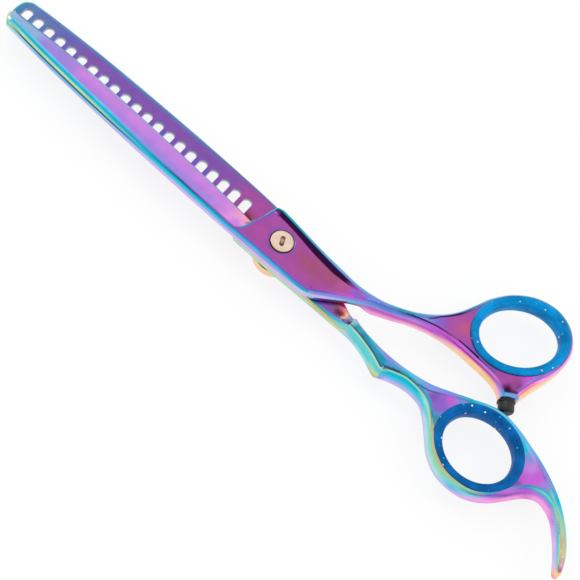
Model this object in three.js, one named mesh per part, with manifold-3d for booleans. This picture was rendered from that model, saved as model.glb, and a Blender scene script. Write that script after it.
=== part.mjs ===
// Thinning shears: a solid-bladed thumb half and a slotted finger half on one pivot screw.
// Millimetres. The origin is the centre of the tension nut's rear face, on the pivot axis.
// +Z runs along the pivot towards the screw head, +X towards the handles, and the tips point to -X.
import * as THREE from "three";
import { mergeVertices } from "three/addons/utils/BufferGeometryUtils.js";
import Module from "manifold-3d";

const wasm = await Module();
wasm.setup();

// Heights along the pivot axis
const NUT_TOP = 2.9;
const PLATE_REAR = 4.2; // rear face of the finger half round the pivot
const TOOTHED_REAR = 5.1; // rear face of the toothed blade
const HANDLE_REAR = 5.2;
const FINGER_RIDE = 7.7; // front face of the finger half where the thumb half slides over it
const THUMB_RIDE = 8.0; // rear face of the thumb half where it slides over the finger half
const HANDLE_FRONT = 10.8;
const BLADE_RIDGE = 11.0; // highest line of the solid blade, along its back
const PLATE_FRONT = 12.0;
const SCREW_FRONT = 12.3;
const INSERT_REAR = 4.5;
const INSERT_FRONT = 11.8;
const OVER = 3; // how far a cutter runs past the faces it cuts
const REACH = 160; // longer than the part in any direction
const ARC_MIDDLE = 0.293; // from a quarter round's corner to its middle, as a share of its radius

// Rims and edges
const RIM_RUN = 0.7; // how far the rounded rim of a handle reaches in from its outline
const RIM_DEPTH = 1.1; // how far the rim reaches along the pivot axis
const PLATE_RIM = 0.5;
const EDGE_THICKNESS = 0.5; // steel left at the solid blade's cutting edge

// Pivot
const SCREW_HEAD_RADIUS = 3.85;
const SCREW_HEAD_THICKNESS = 1.9;
const SCREW_RADIUS = 2.5;
const SCREW_HEAD_REAR = SCREW_FRONT - SCREW_HEAD_THICKNESS;
const SCREW_END = 1.4; // height of the shaft's end, inside the nut
const SCREW_CHAMFER = 0.3;
const HEAD_BEVEL = 0.25;
const SLOT_WIDTH = 1.3;
const SLOT_LENGTH = 3.4;
const SLOT_DEPTH = 0.8;
const SLOT_TURN = 22; // degrees from the Y axis
const NUT_RADIUS = 6.9;
const NUT_ROUND = 0.7;
const NUT_BEVEL = 0.4;
const NUT_FLOOR = 1.1; // thickness of the closed rear behind the screw
const BUSH_RADIUS = 3.3;
const RUNNING_GAP = 0.06;
const SEAT_GAP = 0.3;
const RIDE_WASHER_RADIUS = 5.4;
const RIDE_WASHER_REAR = 7.25;
const RIDE_WASHER_FRONT = 7.95;
const WASHER_RADIUS = 5.2;
const WASHER_THICKNESS = 0.5;
const WASHER_GAP = 0.05;
const BUSH_GAP = 0.1;
const SPRING_RADIUS = 4.8;
const SPRING_THICKNESS = 0.35;
const SPRING_DISH = 0.23;

// Shoulders: radii about the pivot where each half leaves its ride face
const THUMB_SHOULDER = 30.5;
const FINGER_SHOULDER = 29;
const SCOOP = [[0, 0], [1.6, 0.4], [3, 1.3], [4.4, 3.3]]; // run out from the finger shoulder, rise
const PLATE_SLOPE = { start: 31, end: 43 }; // where the plate's front falls to the handle's
const REAR_SLOPE = { start: 26, end: 38 }; // where the finger plate's rear rises to the handle's
const RIDE_END = 2; // the ride face covers everything on the tip side of this X

// Teeth: round-ended slots, open at the cutting edge
const SLOT_COUNT = 21;
const SLOT_PITCH = 4.673;
const FIRST_SLOT_X = -110.44;
const SLOT_RADIUS = 1.53;
const SLOT_END_AT_TIP = 10.9;
const SLOT_END_AT_PIVOT = 7.2;
const SLOT_MOUTH = -8;

// Finger rings: each insert's lip and its opening are ellipses with one centre and turn
const THUMB_RING = { x: 75.9, y: 28.8, turn: 0.8, lip: [16.8, 13.8], opening: [13.6, 10.6] };
const FINGER_RING = { x: 87.5, y: -12.1, turn: -0.09, lip: [15.3, 13.7], opening: [11.8, 11.1] };
const LIP_GAP = 0.1;
const SLEEVE_WALL = 1.3;

// Bumper
const BUMPER_ROOT = new THREE.Vector3(84.9, 8.84, 7.95);
const BUMPER_TURN = -1.004; // direction of its axis in the plane of the blades
const BUMPER_COLLAR = { radius: 3.0, length: 1.1, bevel: 0.2 };
const BUMPER_BODY = { radius: 2.65, length: 4.65, round: 0.9 };
const STUD = { radius: 1.0, inBoss: 3.4, inBumper: 2.6 };

const SEGMENTS = 40; // facets round a pivot part
const RING_SEGMENTS = 28; // facets round half of a finger ring

// The solid of a closed geometry.
function solid(geometry) {
  const bare = geometry.index ? geometry.toNonIndexed() : geometry.clone();
  bare.deleteAttribute("normal");
  bare.deleteAttribute("uv");
  const merged = mergeVertices(bare, 1e-4);
  const mesh = new wasm.Mesh({
    numProp: 3,
    vertProperties: new Float32Array(merged.attributes.position.array),
    triVerts: new Uint32Array(merged.index.array),
  });
  return new wasm.Manifold(mesh);
}

function geometryOf(body) {
  const mesh = body.getMesh();
  const geometry = new THREE.BufferGeometry();
  geometry.setAttribute("position", new THREE.BufferAttribute(mesh.vertProperties, 3));
  geometry.setIndex(new THREE.BufferAttribute(mesh.triVerts, 1));
  const faceted = geometry.toNonIndexed();
  faceted.computeVertexNormals();
  return faceted;
}

function vectors(points) {
  return points.map(([x, y]) => new THREE.Vector2(x, y));
}

// A flat outline raised from low to high, with an optional rounded rim on both faces.
function raise(shape, low, high, rim = null, curveSegments = 3) {
  const depth = rim ? rim.depth : 0;
  const geometry = new THREE.ExtrudeGeometry(shape, {
    depth: high - low - 2 * depth,
    curveSegments,
    bevelEnabled: Boolean(rim),
    bevelThickness: depth,
    bevelSize: rim ? rim.run : 0,
    bevelOffset: rim ? -rim.run : 0,
    bevelSegments: 2,
  });
  geometry.translate(0, 0, low + depth);
  return solid(geometry);
}

function disc(radius, low, high) {
  const geometry = new THREE.CylinderGeometry(radius, radius, high - low, SEGMENTS);
  geometry.rotateX(Math.PI / 2);
  geometry.translate(0, 0, (low + high) / 2);
  return solid(geometry);
}

// A profile of [radius, height] pairs turned about the pivot axis.
function turned(profile) {
  const geometry = new THREE.LatheGeometry(vectors(profile), SEGMENTS);
  geometry.rotateX(Math.PI / 2);
  geometry.scale(1, -1, 1);
  return solid(flipped(geometry));
}

// The same geometry with every face turned round, for one that was mirrored.
function flipped(geometry) {
  const index = geometry.index.array;
  for (let i = 0; i < index.length; i += 3) {
    [index[i + 1], index[i + 2]] = [index[i + 2], index[i + 1]];
  }
  return geometry;
}

// A ring's lip or opening, grown by a margin and raised from low to high.
function ringSolid(ring, [long, short], grow, low, high) {
  const shape = new THREE.Shape();
  shape.absellipse(ring.x, ring.y, long + grow, short + grow, 0, 2 * Math.PI, false, ring.turn);
  return raise(shape, low, high, null, RING_SEGMENTS);
}

function box(low, high) {
  const size = high.map((value, axis) => value - low[axis]);
  const geometry = new THREE.BoxGeometry(...size);
  geometry.translate(...low.map((value, axis) => value + size[axis] / 2));
  return solid(geometry);
}

// The solid blade, seen along the pivot: cutting edge on the +Y side, back on the -Y side.
function solidBladeOutline() {
  const shape = new THREE.Shape();
  shape.moveTo(-6, 0);
  shape.splineThru(vectors([[-17.1, 1.4], [-42.5, 3.7], [-66, 5.4], [-93, 6.4], [-113.8, 6.2]]));
  shape.splineThru(vectors([[-114.3, 4.8], [-113.9, 2.3], [-112.3, -0.1]]));
  shape.splineThru(vectors([[-96.5, -2], [-78.5, -3.7], [-47.3, -6], [-12.6, -7.8], [-6, -8.1]]));
  shape.closePath();
  return shape;
}

// The thumb half behind the blade: pivot plate, shank, ring and stop boss.
function thumbBodyOutline() {
  const shape = new THREE.Shape();
  shape.moveTo(-13.4, -7.8);
  shape.splineThru(vectors([[-12.4, -4.4], [-11.4, -1.4], [-10, 3.2], [-9, 7.2]]));
  shape.splineThru(vectors([[-8.4, 9], [-6.6, 9.7], [-4, 9.5]]));
  shape.splineThru(vectors([
    [1.4, 8.7], [10.6, 7.3], [19, 6.4], [27.7, 5.7], [34.9, 6.7], [41.1, 9.4], [46.9, 12.5], [52, 16.7],
    [56, 21.7], [58.7, 27.3], [61.3, 33.4], [65.9, 39.7], [72.6, 44.4], [80.4, 45.8], [87.2, 43.1],
    [91.4, 37.4], [92.7, 30.4], [91.5, 24], [89.4, 16.8], [87.9, 10.84],
  ]));
  shape.lineTo(83, 7.6);
  shape.splineThru(vectors([[81.2, 9.4], [77.3, 10.8], [69.7, 11.6], [61.3, 11.9], [53.8, 11], [47.1, 8.9],
    [41.2, 6.1], [34.1, 2.8], [28.6, 0], [23.3, -3.8], [19, -6.9]]));
  shape.splineThru(vectors([[17, -8], [14, -8.6], [3, -8.3], [-13.4, -7.8]]));
  return shape;
}

// The toothed blade before its slots are cut: spine on the +Y side, tooth tips on the -Y side.
function toothedBladeOutline() {
  const shape = new THREE.Shape();
  shape.moveTo(-4, 10.8);
  shape.splineThru(vectors([
    [-9.4, 11.6], [-25, 12.7], [-54, 13.9], [-85, 14.5], [-105.3, 14.1], [-112, 13.7],
  ]));
  shape.splineThru(vectors([[-114, 12], [-114.9, 8.7], [-114.3, 5.2], [-112.9, 3.4]]));
  shape.splineThru(vectors([[-64, 1.6], [-14.8, -2.4]]));
  shape.lineTo(-13.4, -6.4);
  shape.lineTo(-4, -7.3);
  shape.closePath();
  return shape;
}

// The finger half behind the blade: ride plate, shank with its notch, ring and tang.
function fingerBodyOutline() {
  const shape = new THREE.Shape();
  shape.moveTo(-14, 3);
  shape.splineThru(vectors([[-12, 8], [-8, 10.9], [-2, 10.4], [6, 8.2], [14, 5.2], [22, 1.8], [28, -0.8],
    [33, -3.5], [39.8, -5.4], [48.6, -6.4], [56.4, -6.1], [63.5, -4.9], [69.8, -2.5], [76.2, 0.2],
    [82.3, 2.7], [87.5, 3.5], [94.3, 2.3], [99.3, 0.6], [104.3, -1.2], [110, -3.9], [116.7, -8.1],
    [121.6, -12.2], [125.7, -17.1], [128.5, -22], [130.2, -26.5]]));
  shape.absarc(129.2, -27.4, 1.2, 0.72, -2.4, true);
  shape.splineThru(vectors([[125.6, -23.4], [122.1, -18.5], [118.5, -14.5], [115.1, -12.4], [111.4, -11.7],
    [107.8, -13.7], [103.5, -18.8], [99.6, -23.2], [94.4, -26.6], [88.6, -27.8], [82.2, -26.9], [76.6, -23.6],
    [72.4, -19], [68.9, -14.9], [65.4, -11.9], [61.6, -10.8], [56.8, -11], [52, -12.3]]));
  shape.quadraticCurveTo(49.2, -14.6, 47.2, -13.4);
  shape.splineThru(vectors([[43.6, -11.6], [39.6, -10], [34.6, -8.8], [24, -8], [3, -7.5], [-12.4, -7.2]]));
  shape.lineTo(-14, -6.4);
  shape.closePath();
  return shape;
}

// Everything above the solid blade's sloping face, from its ridge down to the cutting edge.
function bladeFaceCutter() {
  const tip = { x: -120, ridge: 0.7, edge: 6.3 };
  const root = { x: -4, ridge: -6.5, edge: 0.6 };
  const edgeHeight = THUMB_RIDE + EDGE_THICKNESS;
  const points = [];
  for (const at of [tip, root]) {
    const slope = (BLADE_RIDGE - edgeHeight) / (at.edge - at.ridge);
    const reach = at.edge + OVER;
    points.push(at.x, at.ridge, BLADE_RIDGE);
    points.push(at.x, reach, edgeHeight - slope * OVER);
    points.push(at.x, reach, BLADE_RIDGE + OVER);
    points.push(at.x, at.ridge, BLADE_RIDGE + OVER);
  }
  const faces = [0, 2, 1, 0, 3, 2, 4, 5, 6, 4, 6, 7];
  for (let i = 0; i < 4; i++) {
    const j = (i + 1) % 4;
    faces.push(i, j, 4 + j, i, 4 + j, 4 + i);
  }
  const geometry = new THREE.BufferGeometry();
  geometry.setAttribute("position", new THREE.Float32BufferAttribute(points, 3));
  geometry.setIndex(faces);
  return solid(geometry);
}

// The hole through a half that an insert's sleeve sits in.
function insertHole(ring) {
  return ringSolid(ring, ring.opening, SLEEVE_WALL + SEAT_GAP, HANDLE_REAR - OVER, PLATE_FRONT + OVER);
}

function thumbHalf() {
  const blade = raise(solidBladeOutline(), THUMB_RIDE, BLADE_RIDGE);
  const body = raise(thumbBodyOutline(), HANDLE_REAR, PLATE_FRONT, { run: PLATE_RIM, depth: PLATE_RIM });
  const behindRide = disc(THUMB_SHOULDER, HANDLE_REAR - OVER, THUMB_RIDE);
  const handleRelief = reliefSlope(PLATE_SLOPE, PLATE_FRONT, HANDLE_FRONT);
  const headSeat = disc(SCREW_HEAD_RADIUS + SEAT_GAP / 2, SCREW_HEAD_REAR - SEAT_GAP, PLATE_FRONT + OVER);
  const bushBore = disc(BUSH_RADIUS + RUNNING_GAP, THUMB_RIDE - OVER, PLATE_FRONT + OVER);
  return blade
    .subtract(bladeFaceCutter())
    .add(body)
    .subtract(behindRide)
    .subtract(handleRelief)
    .subtract(headSeat)
    .subtract(bushBore)
    .subtract(insertHole(THUMB_RING))
    .subtract(studHole());
}

// Everything above a face that is level up to the slope's start, falls to a lower height at its end, and
// stays there.
function reliefSlope({ start, end }, from, to) {
  const shape = new THREE.Shape();
  shape.moveTo(start, from);
  shape.quadraticCurveTo((start + end) / 2, to, end, to);
  shape.lineTo(REACH, to);
  shape.lineTo(REACH, from + OVER);
  shape.lineTo(start, from + OVER);
  shape.closePath();
  const width = 2 * REACH;
  const geometry = new THREE.ExtrudeGeometry(shape, { depth: width, curveSegments: 6, bevelEnabled: false });
  geometry.rotateX(Math.PI / 2);
  geometry.translate(0, REACH, 0);
  return solid(geometry);
}

// The concave shoulder where the finger half rises from its ride face to full thickness.
function shoulderCutter() {
  const scoop = SCOOP.map(([run, rise]) => [FINGER_SHOULDER + run, FINGER_RIDE + rise]);
  const rim = scoop[scoop.length - 1][0];
  const top = HANDLE_FRONT + OVER;
  return turned([[0, FINGER_RIDE], ...scoop, [rim, top], [0, top]]);
}

function toothSlots() {
  const cutters = [];
  const pivotSlotX = FIRST_SLOT_X + (SLOT_COUNT - 1) * SLOT_PITCH;
  for (let i = 0; i < SLOT_COUNT; i++) {
    const x = FIRST_SLOT_X + i * SLOT_PITCH;
    const share = (pivotSlotX - x) / (pivotSlotX - FIRST_SLOT_X);
    const end = THREE.MathUtils.lerp(SLOT_END_AT_PIVOT, SLOT_END_AT_TIP, share);
    const shape = new THREE.Shape();
    shape.moveTo(x - SLOT_RADIUS, SLOT_MOUTH);
    shape.lineTo(x + SLOT_RADIUS, SLOT_MOUTH);
    shape.absarc(x, end - SLOT_RADIUS, SLOT_RADIUS, 0, Math.PI, false);
    shape.closePath();
    cutters.push(raise(shape, TOOTHED_REAR - OVER, FINGER_RIDE + OVER, null, 10));
  }
  return cutters.reduce((sum, cutter) => sum.add(cutter));
}

function fingerHalf() {
  const blade = raise(toothedBladeOutline(), TOOTHED_REAR, FINGER_RIDE).subtract(toothSlots());
  const body = raise(fingerBodyOutline(), PLATE_REAR, HANDLE_FRONT, { run: RIM_RUN, depth: RIM_DEPTH });
  const ridePlane = box([-REACH, -REACH, FINGER_RIDE], [RIDE_END, REACH, HANDLE_FRONT + OVER]);
  const handleRear = reliefSlope(REAR_SLOPE, -PLATE_REAR, -HANDLE_REAR).rotate([180, 0, 0]);
  const washerSeat = disc(RIDE_WASHER_RADIUS + SEAT_GAP, RIDE_WASHER_REAR - SEAT_GAP / 2, FINGER_RIDE + OVER);
  const bore = disc(SCREW_RADIUS + RUNNING_GAP, -OVER, PLATE_FRONT);
  return blade
    .add(body)
    .subtract(ridePlane)
    .subtract(shoulderCutter())
    .subtract(handleRear)
    .subtract(washerSeat)
    .subtract(bore)
    .subtract(insertHole(FINGER_RING));
}

// A ring liner: a sleeve through the metal ring with a lip against each of its faces.
function insert(ring) {
  const lipRear = ringSolid(ring, ring.lip, 0, INSERT_REAR, HANDLE_REAR - LIP_GAP);
  const lipFront = ringSolid(ring, ring.lip, 0, HANDLE_FRONT + LIP_GAP, INSERT_FRONT);
  const sleeve = ringSolid(ring, ring.opening, SLEEVE_WALL, INSERT_REAR, INSERT_FRONT);
  const opening = ringSolid(ring, ring.opening, 0, INSERT_REAR - OVER, INSERT_FRONT + OVER);
  return sleeve.add(lipRear).add(lipFront).subtract(opening);
}

// A turned solid laid along the bumper's axis, with height zero at the boss's end.
function alongBumper(body) {
  const turn = THREE.MathUtils.radToDeg(BUMPER_TURN);
  return body.rotate([0, 90, 0]).rotate([0, 0, turn]).translate(BUMPER_ROOT.toArray());
}

function studHole() {
  return alongBumper(disc(STUD.radius + SEAT_GAP / 2, -STUD.inBoss - SEAT_GAP, OVER));
}

function bumper() {
  const start = SEAT_GAP;
  const end = BUMPER_BODY.length;
  const round = BUMPER_BODY.round;
  const body = turned([
    [0, start],
    [BUMPER_COLLAR.radius, start],
    [BUMPER_COLLAR.radius, BUMPER_COLLAR.length],
    [BUMPER_BODY.radius, BUMPER_COLLAR.length + BUMPER_COLLAR.bevel],
    [BUMPER_BODY.radius, end - round],
    [BUMPER_BODY.radius - round * ARC_MIDDLE, end - round * ARC_MIDDLE],
    [BUMPER_BODY.radius - round, end],
    [0, end],
  ]);
  const hole = disc(STUD.radius + SEAT_GAP / 2, -OVER, STUD.inBumper + SEAT_GAP / 2);
  return alongBumper(body.subtract(hole));
}

function bumperStud() {
  return alongBumper(disc(STUD.radius, -STUD.inBoss, STUD.inBumper));
}

function pivotScrew() {
  const body = turned([
    [0, SCREW_END],
    [SCREW_RADIUS - SCREW_CHAMFER, SCREW_END],
    [SCREW_RADIUS, SCREW_END + SCREW_CHAMFER],
    [SCREW_RADIUS, SCREW_HEAD_REAR],
    [SCREW_HEAD_RADIUS, SCREW_HEAD_REAR],
    [SCREW_HEAD_RADIUS, SCREW_FRONT - HEAD_BEVEL],
    [SCREW_HEAD_RADIUS - HEAD_BEVEL, SCREW_FRONT],
    [0, SCREW_FRONT],
  ]);
  const slot = new THREE.Shape();
  const reach = SLOT_LENGTH / 2 - SLOT_WIDTH / 2;
  slot.absarc(0, reach, SLOT_WIDTH / 2, 0, Math.PI, false);
  slot.absarc(0, -reach, SLOT_WIDTH / 2, Math.PI, 2 * Math.PI, false);
  slot.closePath();
  const cutter = raise(slot, SCREW_FRONT - SLOT_DEPTH, SCREW_FRONT + OVER, null, 8).rotate([0, 0, SLOT_TURN]);
  return body.subtract(cutter);
}

function tensionNut() {
  const body = turned([
    [0, 0],
    [NUT_RADIUS - NUT_ROUND, 0],
    [NUT_RADIUS - NUT_ROUND * ARC_MIDDLE, NUT_ROUND * ARC_MIDDLE],
    [NUT_RADIUS, NUT_ROUND],
    [NUT_RADIUS, NUT_TOP - NUT_BEVEL],
    [NUT_RADIUS - NUT_BEVEL, NUT_TOP],
    [0, NUT_TOP],
  ]);
  return body.subtract(disc(SCREW_RADIUS + RUNNING_GAP, NUT_FLOOR, NUT_TOP + OVER));
}

function washer(outer, inner, low, high) {
  return disc(outer, low, high).subtract(disc(inner, low - OVER, high + OVER));
}

// A shallow dished ring: its outer edge is beside the nut and its inner edge beside the plain washer.
function springWasher() {
  const inner = SCREW_RADIUS + RUNNING_GAP;
  const rear = NUT_TOP + WASHER_GAP;
  return turned([
    [inner, rear + SPRING_DISH],
    [SPRING_RADIUS, rear],
    [SPRING_RADIUS, rear + SPRING_THICKNESS],
    [inner, rear + SPRING_DISH + SPRING_THICKNESS],
    [inner, rear + SPRING_DISH],
  ]);
}

const MATERIALS = {
  thumb_half: { color: 0xb060b8, roughness: 0.18, metalness: 1 },
  finger_half: { color: 0x7a58b4, roughness: 0.18, metalness: 1 },
  thumb_insert: { color: 0x0a7cc8, roughness: 0.12, metalness: 0 },
  finger_insert: { color: 0x0a7cc8, roughness: 0.12, metalness: 0 },
  bumper: { color: 0x1c1c1e, roughness: 0.6, metalness: 0 },
  bumper_stud: { color: 0xb8b8bc, roughness: 0.35, metalness: 1 },
  pivot_screw: { color: 0xe2c8b4, roughness: 0.2, metalness: 1 },
  pivot_bush: { color: 0xc8a55a, roughness: 0.35, metalness: 1 },
  ride_washer: { color: 0xe8e6de, roughness: 0.5, metalness: 0 },
  thrust_washer: { color: 0xe8e6de, roughness: 0.5, metalness: 0 },
  spring_washer: { color: 0xb8b8bc, roughness: 0.3, metalness: 1 },
  tension_nut: { color: 0xf0d0ae, roughness: 0.25, metalness: 1 },
};

function part(name, body) {
  const mesh = new THREE.Mesh(geometryOf(body), new THREE.MeshStandardMaterial(MATERIALS[name]));
  mesh.name = name;
  return mesh;
}

const fingerGroup = new THREE.Group();
fingerGroup.add(part("finger_half", fingerHalf()));
fingerGroup.add(part("finger_insert", insert(FINGER_RING)));
fingerGroup.add(part("ride_washer", washer(
  RIDE_WASHER_RADIUS, BUSH_RADIUS + SEAT_GAP, RIDE_WASHER_REAR, RIDE_WASHER_FRONT)));
const thrustFace = PLATE_REAR - WASHER_GAP;
fingerGroup.add(part("thrust_washer", washer(
  WASHER_RADIUS, SCREW_RADIUS + RUNNING_GAP, thrustFace - WASHER_THICKNESS, thrustFace)));

const thumbGroup = new THREE.Group();
thumbGroup.add(part("thumb_half", thumbHalf()));
thumbGroup.add(part("thumb_insert", insert(THUMB_RING)));
thumbGroup.add(part("bumper", bumper()));
thumbGroup.add(part("bumper_stud", bumperStud()));
thumbGroup.add(part("pivot_bush", washer(
  BUSH_RADIUS, SCREW_RADIUS + RUNNING_GAP, THUMB_RIDE + WASHER_GAP, SCREW_HEAD_REAR - BUSH_GAP)));

const nutGroup = new THREE.Group();
nutGroup.add(part("tension_nut", tensionNut()));
nutGroup.add(part("spring_washer", springWasher()));

const shears = new THREE.Group();
shears.add(fingerGroup, thumbGroup, nutGroup, part("pivot_screw", pivotScrew()));

export default shears;
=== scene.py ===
"""Looks of the thinning shears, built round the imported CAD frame.

Lengths are written in millimetres in the frame's own axes and become metres when a mesh is made:
the tips point to -X, the thumb ring is on the +Y side and the screw head faces +Z. Only the floor and
the lights are written in metres.
"""

import math

import bmesh
import bpy
import numpy as np
from mathutils import Matrix, Vector, kdtree
from mathutils.geometry import delaunay_2d_cdt


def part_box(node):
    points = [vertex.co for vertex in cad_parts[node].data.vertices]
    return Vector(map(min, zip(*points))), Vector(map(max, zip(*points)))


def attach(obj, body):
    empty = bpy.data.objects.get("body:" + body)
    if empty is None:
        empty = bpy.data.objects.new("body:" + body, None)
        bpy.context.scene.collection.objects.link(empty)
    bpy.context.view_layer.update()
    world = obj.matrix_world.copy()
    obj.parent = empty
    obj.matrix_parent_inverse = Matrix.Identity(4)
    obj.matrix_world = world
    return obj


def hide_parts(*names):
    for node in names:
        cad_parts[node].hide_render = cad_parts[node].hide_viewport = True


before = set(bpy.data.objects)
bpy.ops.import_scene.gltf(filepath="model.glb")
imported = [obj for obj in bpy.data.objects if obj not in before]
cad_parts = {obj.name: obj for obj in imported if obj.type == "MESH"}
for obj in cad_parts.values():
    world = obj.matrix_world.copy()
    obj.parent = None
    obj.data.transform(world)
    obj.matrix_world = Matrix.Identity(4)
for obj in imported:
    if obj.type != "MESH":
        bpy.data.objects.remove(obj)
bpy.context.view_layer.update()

MM = 0.001


def node_box(node):
    """A node's lowest and highest corners in millimetres."""
    low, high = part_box(node)
    return [value / MM for value in low], [value / MM for value in high]


# ---------------------------------------------------------------- sizes
THUMB_LOW, THUMB_HIGH = node_box("thumb_half")
FINGER_LOW, FINGER_HIGH = node_box("finger_half")
SCREW_LOW, SCREW_HIGH = node_box("pivot_screw")
NUT_HIGH = node_box("tension_nut")[1]
INSERT_LOW, INSERT_HIGH = node_box("thumb_insert")

HANDLE_REAR = THUMB_LOW[2]
PLATE_FRONT = THUMB_HIGH[2]
PLATE_REAR = FINGER_LOW[2]
HANDLE_FRONT = FINGER_HIGH[2]
SCREW_FRONT = SCREW_HIGH[2]
SCREW_HEAD_RADIUS = SCREW_HIGH[0]
NUT_RADIUS = NUT_HIGH[0]
NUT_TOP = NUT_HIGH[2]
INSERT_REAR = INSERT_LOW[2]
INSERT_FRONT = INSERT_HIGH[2]

FINGER_RIDE = 7.7  # front face of the finger half where the thumb half slides over it
THUMB_RIDE = 8.0  # rear face of the thumb half over it
TOOTHED_REAR = 5.1
BLADE_TOP = 11.0
EDGE_TOP = 8.5  # front face of the solid blade at its cutting edge
THUMB_SHOULDER = 30.5
THUMB_RISE_RUN = 5.0  # how far the thumb half's rear takes to reach its full depth past the shoulder
FINGER_SHOULDER = 29.0
SEAT_FLOOR = 10.1
SEAT_GAP = 0.15
BUSH_BORE = 3.36
SCREW_BORE = 2.56
WASHER_SEAT_RADIUS = 5.7
WASHER_SEAT_FLOOR = 7.1

THUMB_RING = {"x": 75.9, "y": 28.8, "turn": 0.8, "lip": (16.8, 13.8), "opening": (13.6, 10.6)}
FINGER_RING = {"x": 87.5, "y": -12.1, "turn": -0.09, "lip": (15.3, 13.7), "opening": (11.8, 11.1)}
SLEEVE_SHARE = 0.48  # how far from the lip's outer edge towards the opening the hole in the steel lies

SLOT_COUNT = 21
SLOT_PITCH = 4.673
FIRST_SLOT_X = -110.44
SLOT_RADIUS = 1.53
SLOT_END_AT_TIP = 10.9
SLOT_END_AT_PIVOT = 7.2
TIP_MARGIN = 0.6  # from a slot to the next point along a tooth's tip

REAR_RIM_WIDTH = 0.6
THUMB_RIM_DEPTH = 0.3
FINGER_RIM_DEPTH = 0.9
WALL_ROWS = 4  # rows of faces down a half's wall
HOLE_ROWS = 2  # and down a hole's

BUMPER_ROOT = Vector((84.9, 8.84, 7.95))
BUMPER_TURN = -1.004  # direction of its axis in the plane of the blades

SAMPLE = 0.5  # spacing of the points along an outline
GRID = 1.0  # spacing of the points inside it
GRID_ROW = 0.866 * GRID  # spacing of the grid's rows
GRID_CLEARANCE = 0.45 * GRID  # least distance from a grid point to a point of an outline or a line
RAIL_SPACING = 0.15  # least spacing of the points along a rail
# A rail's point is dropped where the outline comes nearer to it than this share of its width, less the slack.
CROWDED_SHARE = 0.985
CROWDED_SLACK = 0.01
LINE_CLEARANCE = 0.3  # how far inside the outline the lines that cross a face stop
SAME_SPOT = 1e-4  # points closer than this become one

# ---------------------------------------------------------------- colours
# The oxide film's colours, which also serve for the painted highlights, painted shade and painted reflections
# on it.
FILM_AND_LIGHT = {
    "plum": (52, 24, 62),
    "wine": (104, 16, 58),
    "rose": (190, 92, 140),
    "dusk": (164, 86, 118),
    "magenta": (170, 84, 162),
    "hot": (180, 58, 160),
    "orchid": (196, 98, 212),
    "violet": (146, 100, 204),
    "purple": (134, 88, 170),
    "iris": (110, 104, 180),
    "indigo": (98, 92, 190),
    "mauve": (158, 134, 222),
    "lilac": (204, 134, 226),
    "lavender": (208, 184, 242),
    "blush": (240, 190, 224),
    "pink": (244, 160, 226),
    "flame": (255, 80, 140),
    "crimson": (190, 60, 84),
    "cream": (255, 236, 210),
    "salmon": (248, 156, 150),
    "peach": (250, 206, 156),
    "periwinkle": (130, 146, 224),
    "powder": (146, 180, 222),
    "steel": (96, 122, 180),
    "blue": (84, 150, 212),
    "sky": (98, 190, 232),
    "cyan": (20, 186, 214),
    "teal": (40, 146, 172),
    "aqua": (100, 208, 210),
    "ice": (172, 228, 232),
    "mint": (146, 216, 190),
    "sage": (160, 200, 156),
    "lime": (196, 222, 166),
    "yellow": (228, 222, 150),
    "khaki": (196, 186, 142),
    "olive": (134, 146, 106),
    "pine": (38, 88, 100),
    "ink": (58, 74, 124),
    "navy": (26, 30, 62),
    "slate": (92, 96, 108),
    "grey": (150, 154, 164),
    "silver": (214, 218, 224),
    "rose_gold": (238, 212, 192),
    "gold": (206, 160, 110),
    "tan": (206, 170, 148),
    "brown": (122, 84, 58),
}
# Plain colours of the pieces that have no film.
THUMB_BLUE = (0, 146, 216)
FINGER_BLUE = (2, 104, 178)
NUT_GOLD = (250, 214, 172)
BRASS = (206, 170, 98)
PLAIN_STEEL = (190, 190, 196)


def linear(rgb):
    """An 8-bit colour in linear light."""
    return [(value / 255) ** 2.2 for value in rgb]


def film_and_light(name):
    """A named colour in linear light, of the film and of its painted highlights and shade; "face" stands for
    whatever the face's own field gives.
    """
    if name == "face":
        return np.full(3, np.nan)
    return np.array(linear(FILM_AND_LIGHT[name]))


def mix(a, b, share):
    return a * (1 - share) + b * share


def ease(value):
    """0 below 0, 1 above 1 and smooth between."""
    value = min(max(value, 0.0), 1.0)
    return value * value * (3 - 2 * value)


def shade_field(anchors, softness):
    """A colour over the plane, drawn towards each anchor (x, y, colour name) near it.

    Within the softness, in mm, of an anchor the colour hardly changes; an anchor may bring its own.
    """
    places = np.array([row[:2] for row in anchors], float)
    colours = np.array([film_and_light(row[2]) for row in anchors])
    soft = np.array([row[3] if len(row) > 3 else softness for row in anchors], float)

    def colour_at(x, y):
        spread = (places[:, 0] - x) ** 2 + (places[:, 1] - y) ** 2 + soft ** 2
        weight = spread ** -2.0
        return weight @ colours / weight.sum()

    return colour_at


# ---------------------------------------------------------------- outlines
def curve_samples(points, spacing=SAMPLE):
    """Rows of (x, y, place in the list of points) along a centripetal Catmull-Rom curve, end left out."""
    p = [np.array(point, float) for point in points]
    p = [2 * p[0] - p[1]] + p + [2 * p[-1] - p[-2]]
    rows = []
    for i in range(1, len(p) - 2):
        count = max(1, math.ceil(float(np.linalg.norm(p[i + 1] - p[i])) / spacing))
        for k in range(count):
            x, y = catmull_rom(p[i - 1:i + 3], k / count)
            rows.append((x, y, i - 1 + k / count))
    return rows


def catmull_rom(p, share):
    """The point a share of the way from p[1] to p[2]."""
    k = [0.0]
    for a, b in zip(p[:3], p[1:]):
        k.append(k[-1] + math.sqrt(max(float(np.linalg.norm(b - a)), 1e-6)))
    t = mix(k[1], k[2], share)
    first = [mix(p[i], p[i + 1], (t - k[i]) / (k[i + 1] - k[i])) for i in range(3)]
    second = [mix(first[i], first[i + 1], (t - k[i]) / (k[i + 2] - k[i])) for i in range(2)]
    return mix(second[0], second[1], (t - k[1]) / (k[2] - k[1]))


def line_samples(points):
    """Rows along a run whose points are already close together."""
    return [(x, y, i) for i, (x, y) in enumerate(points[:-1])]


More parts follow.
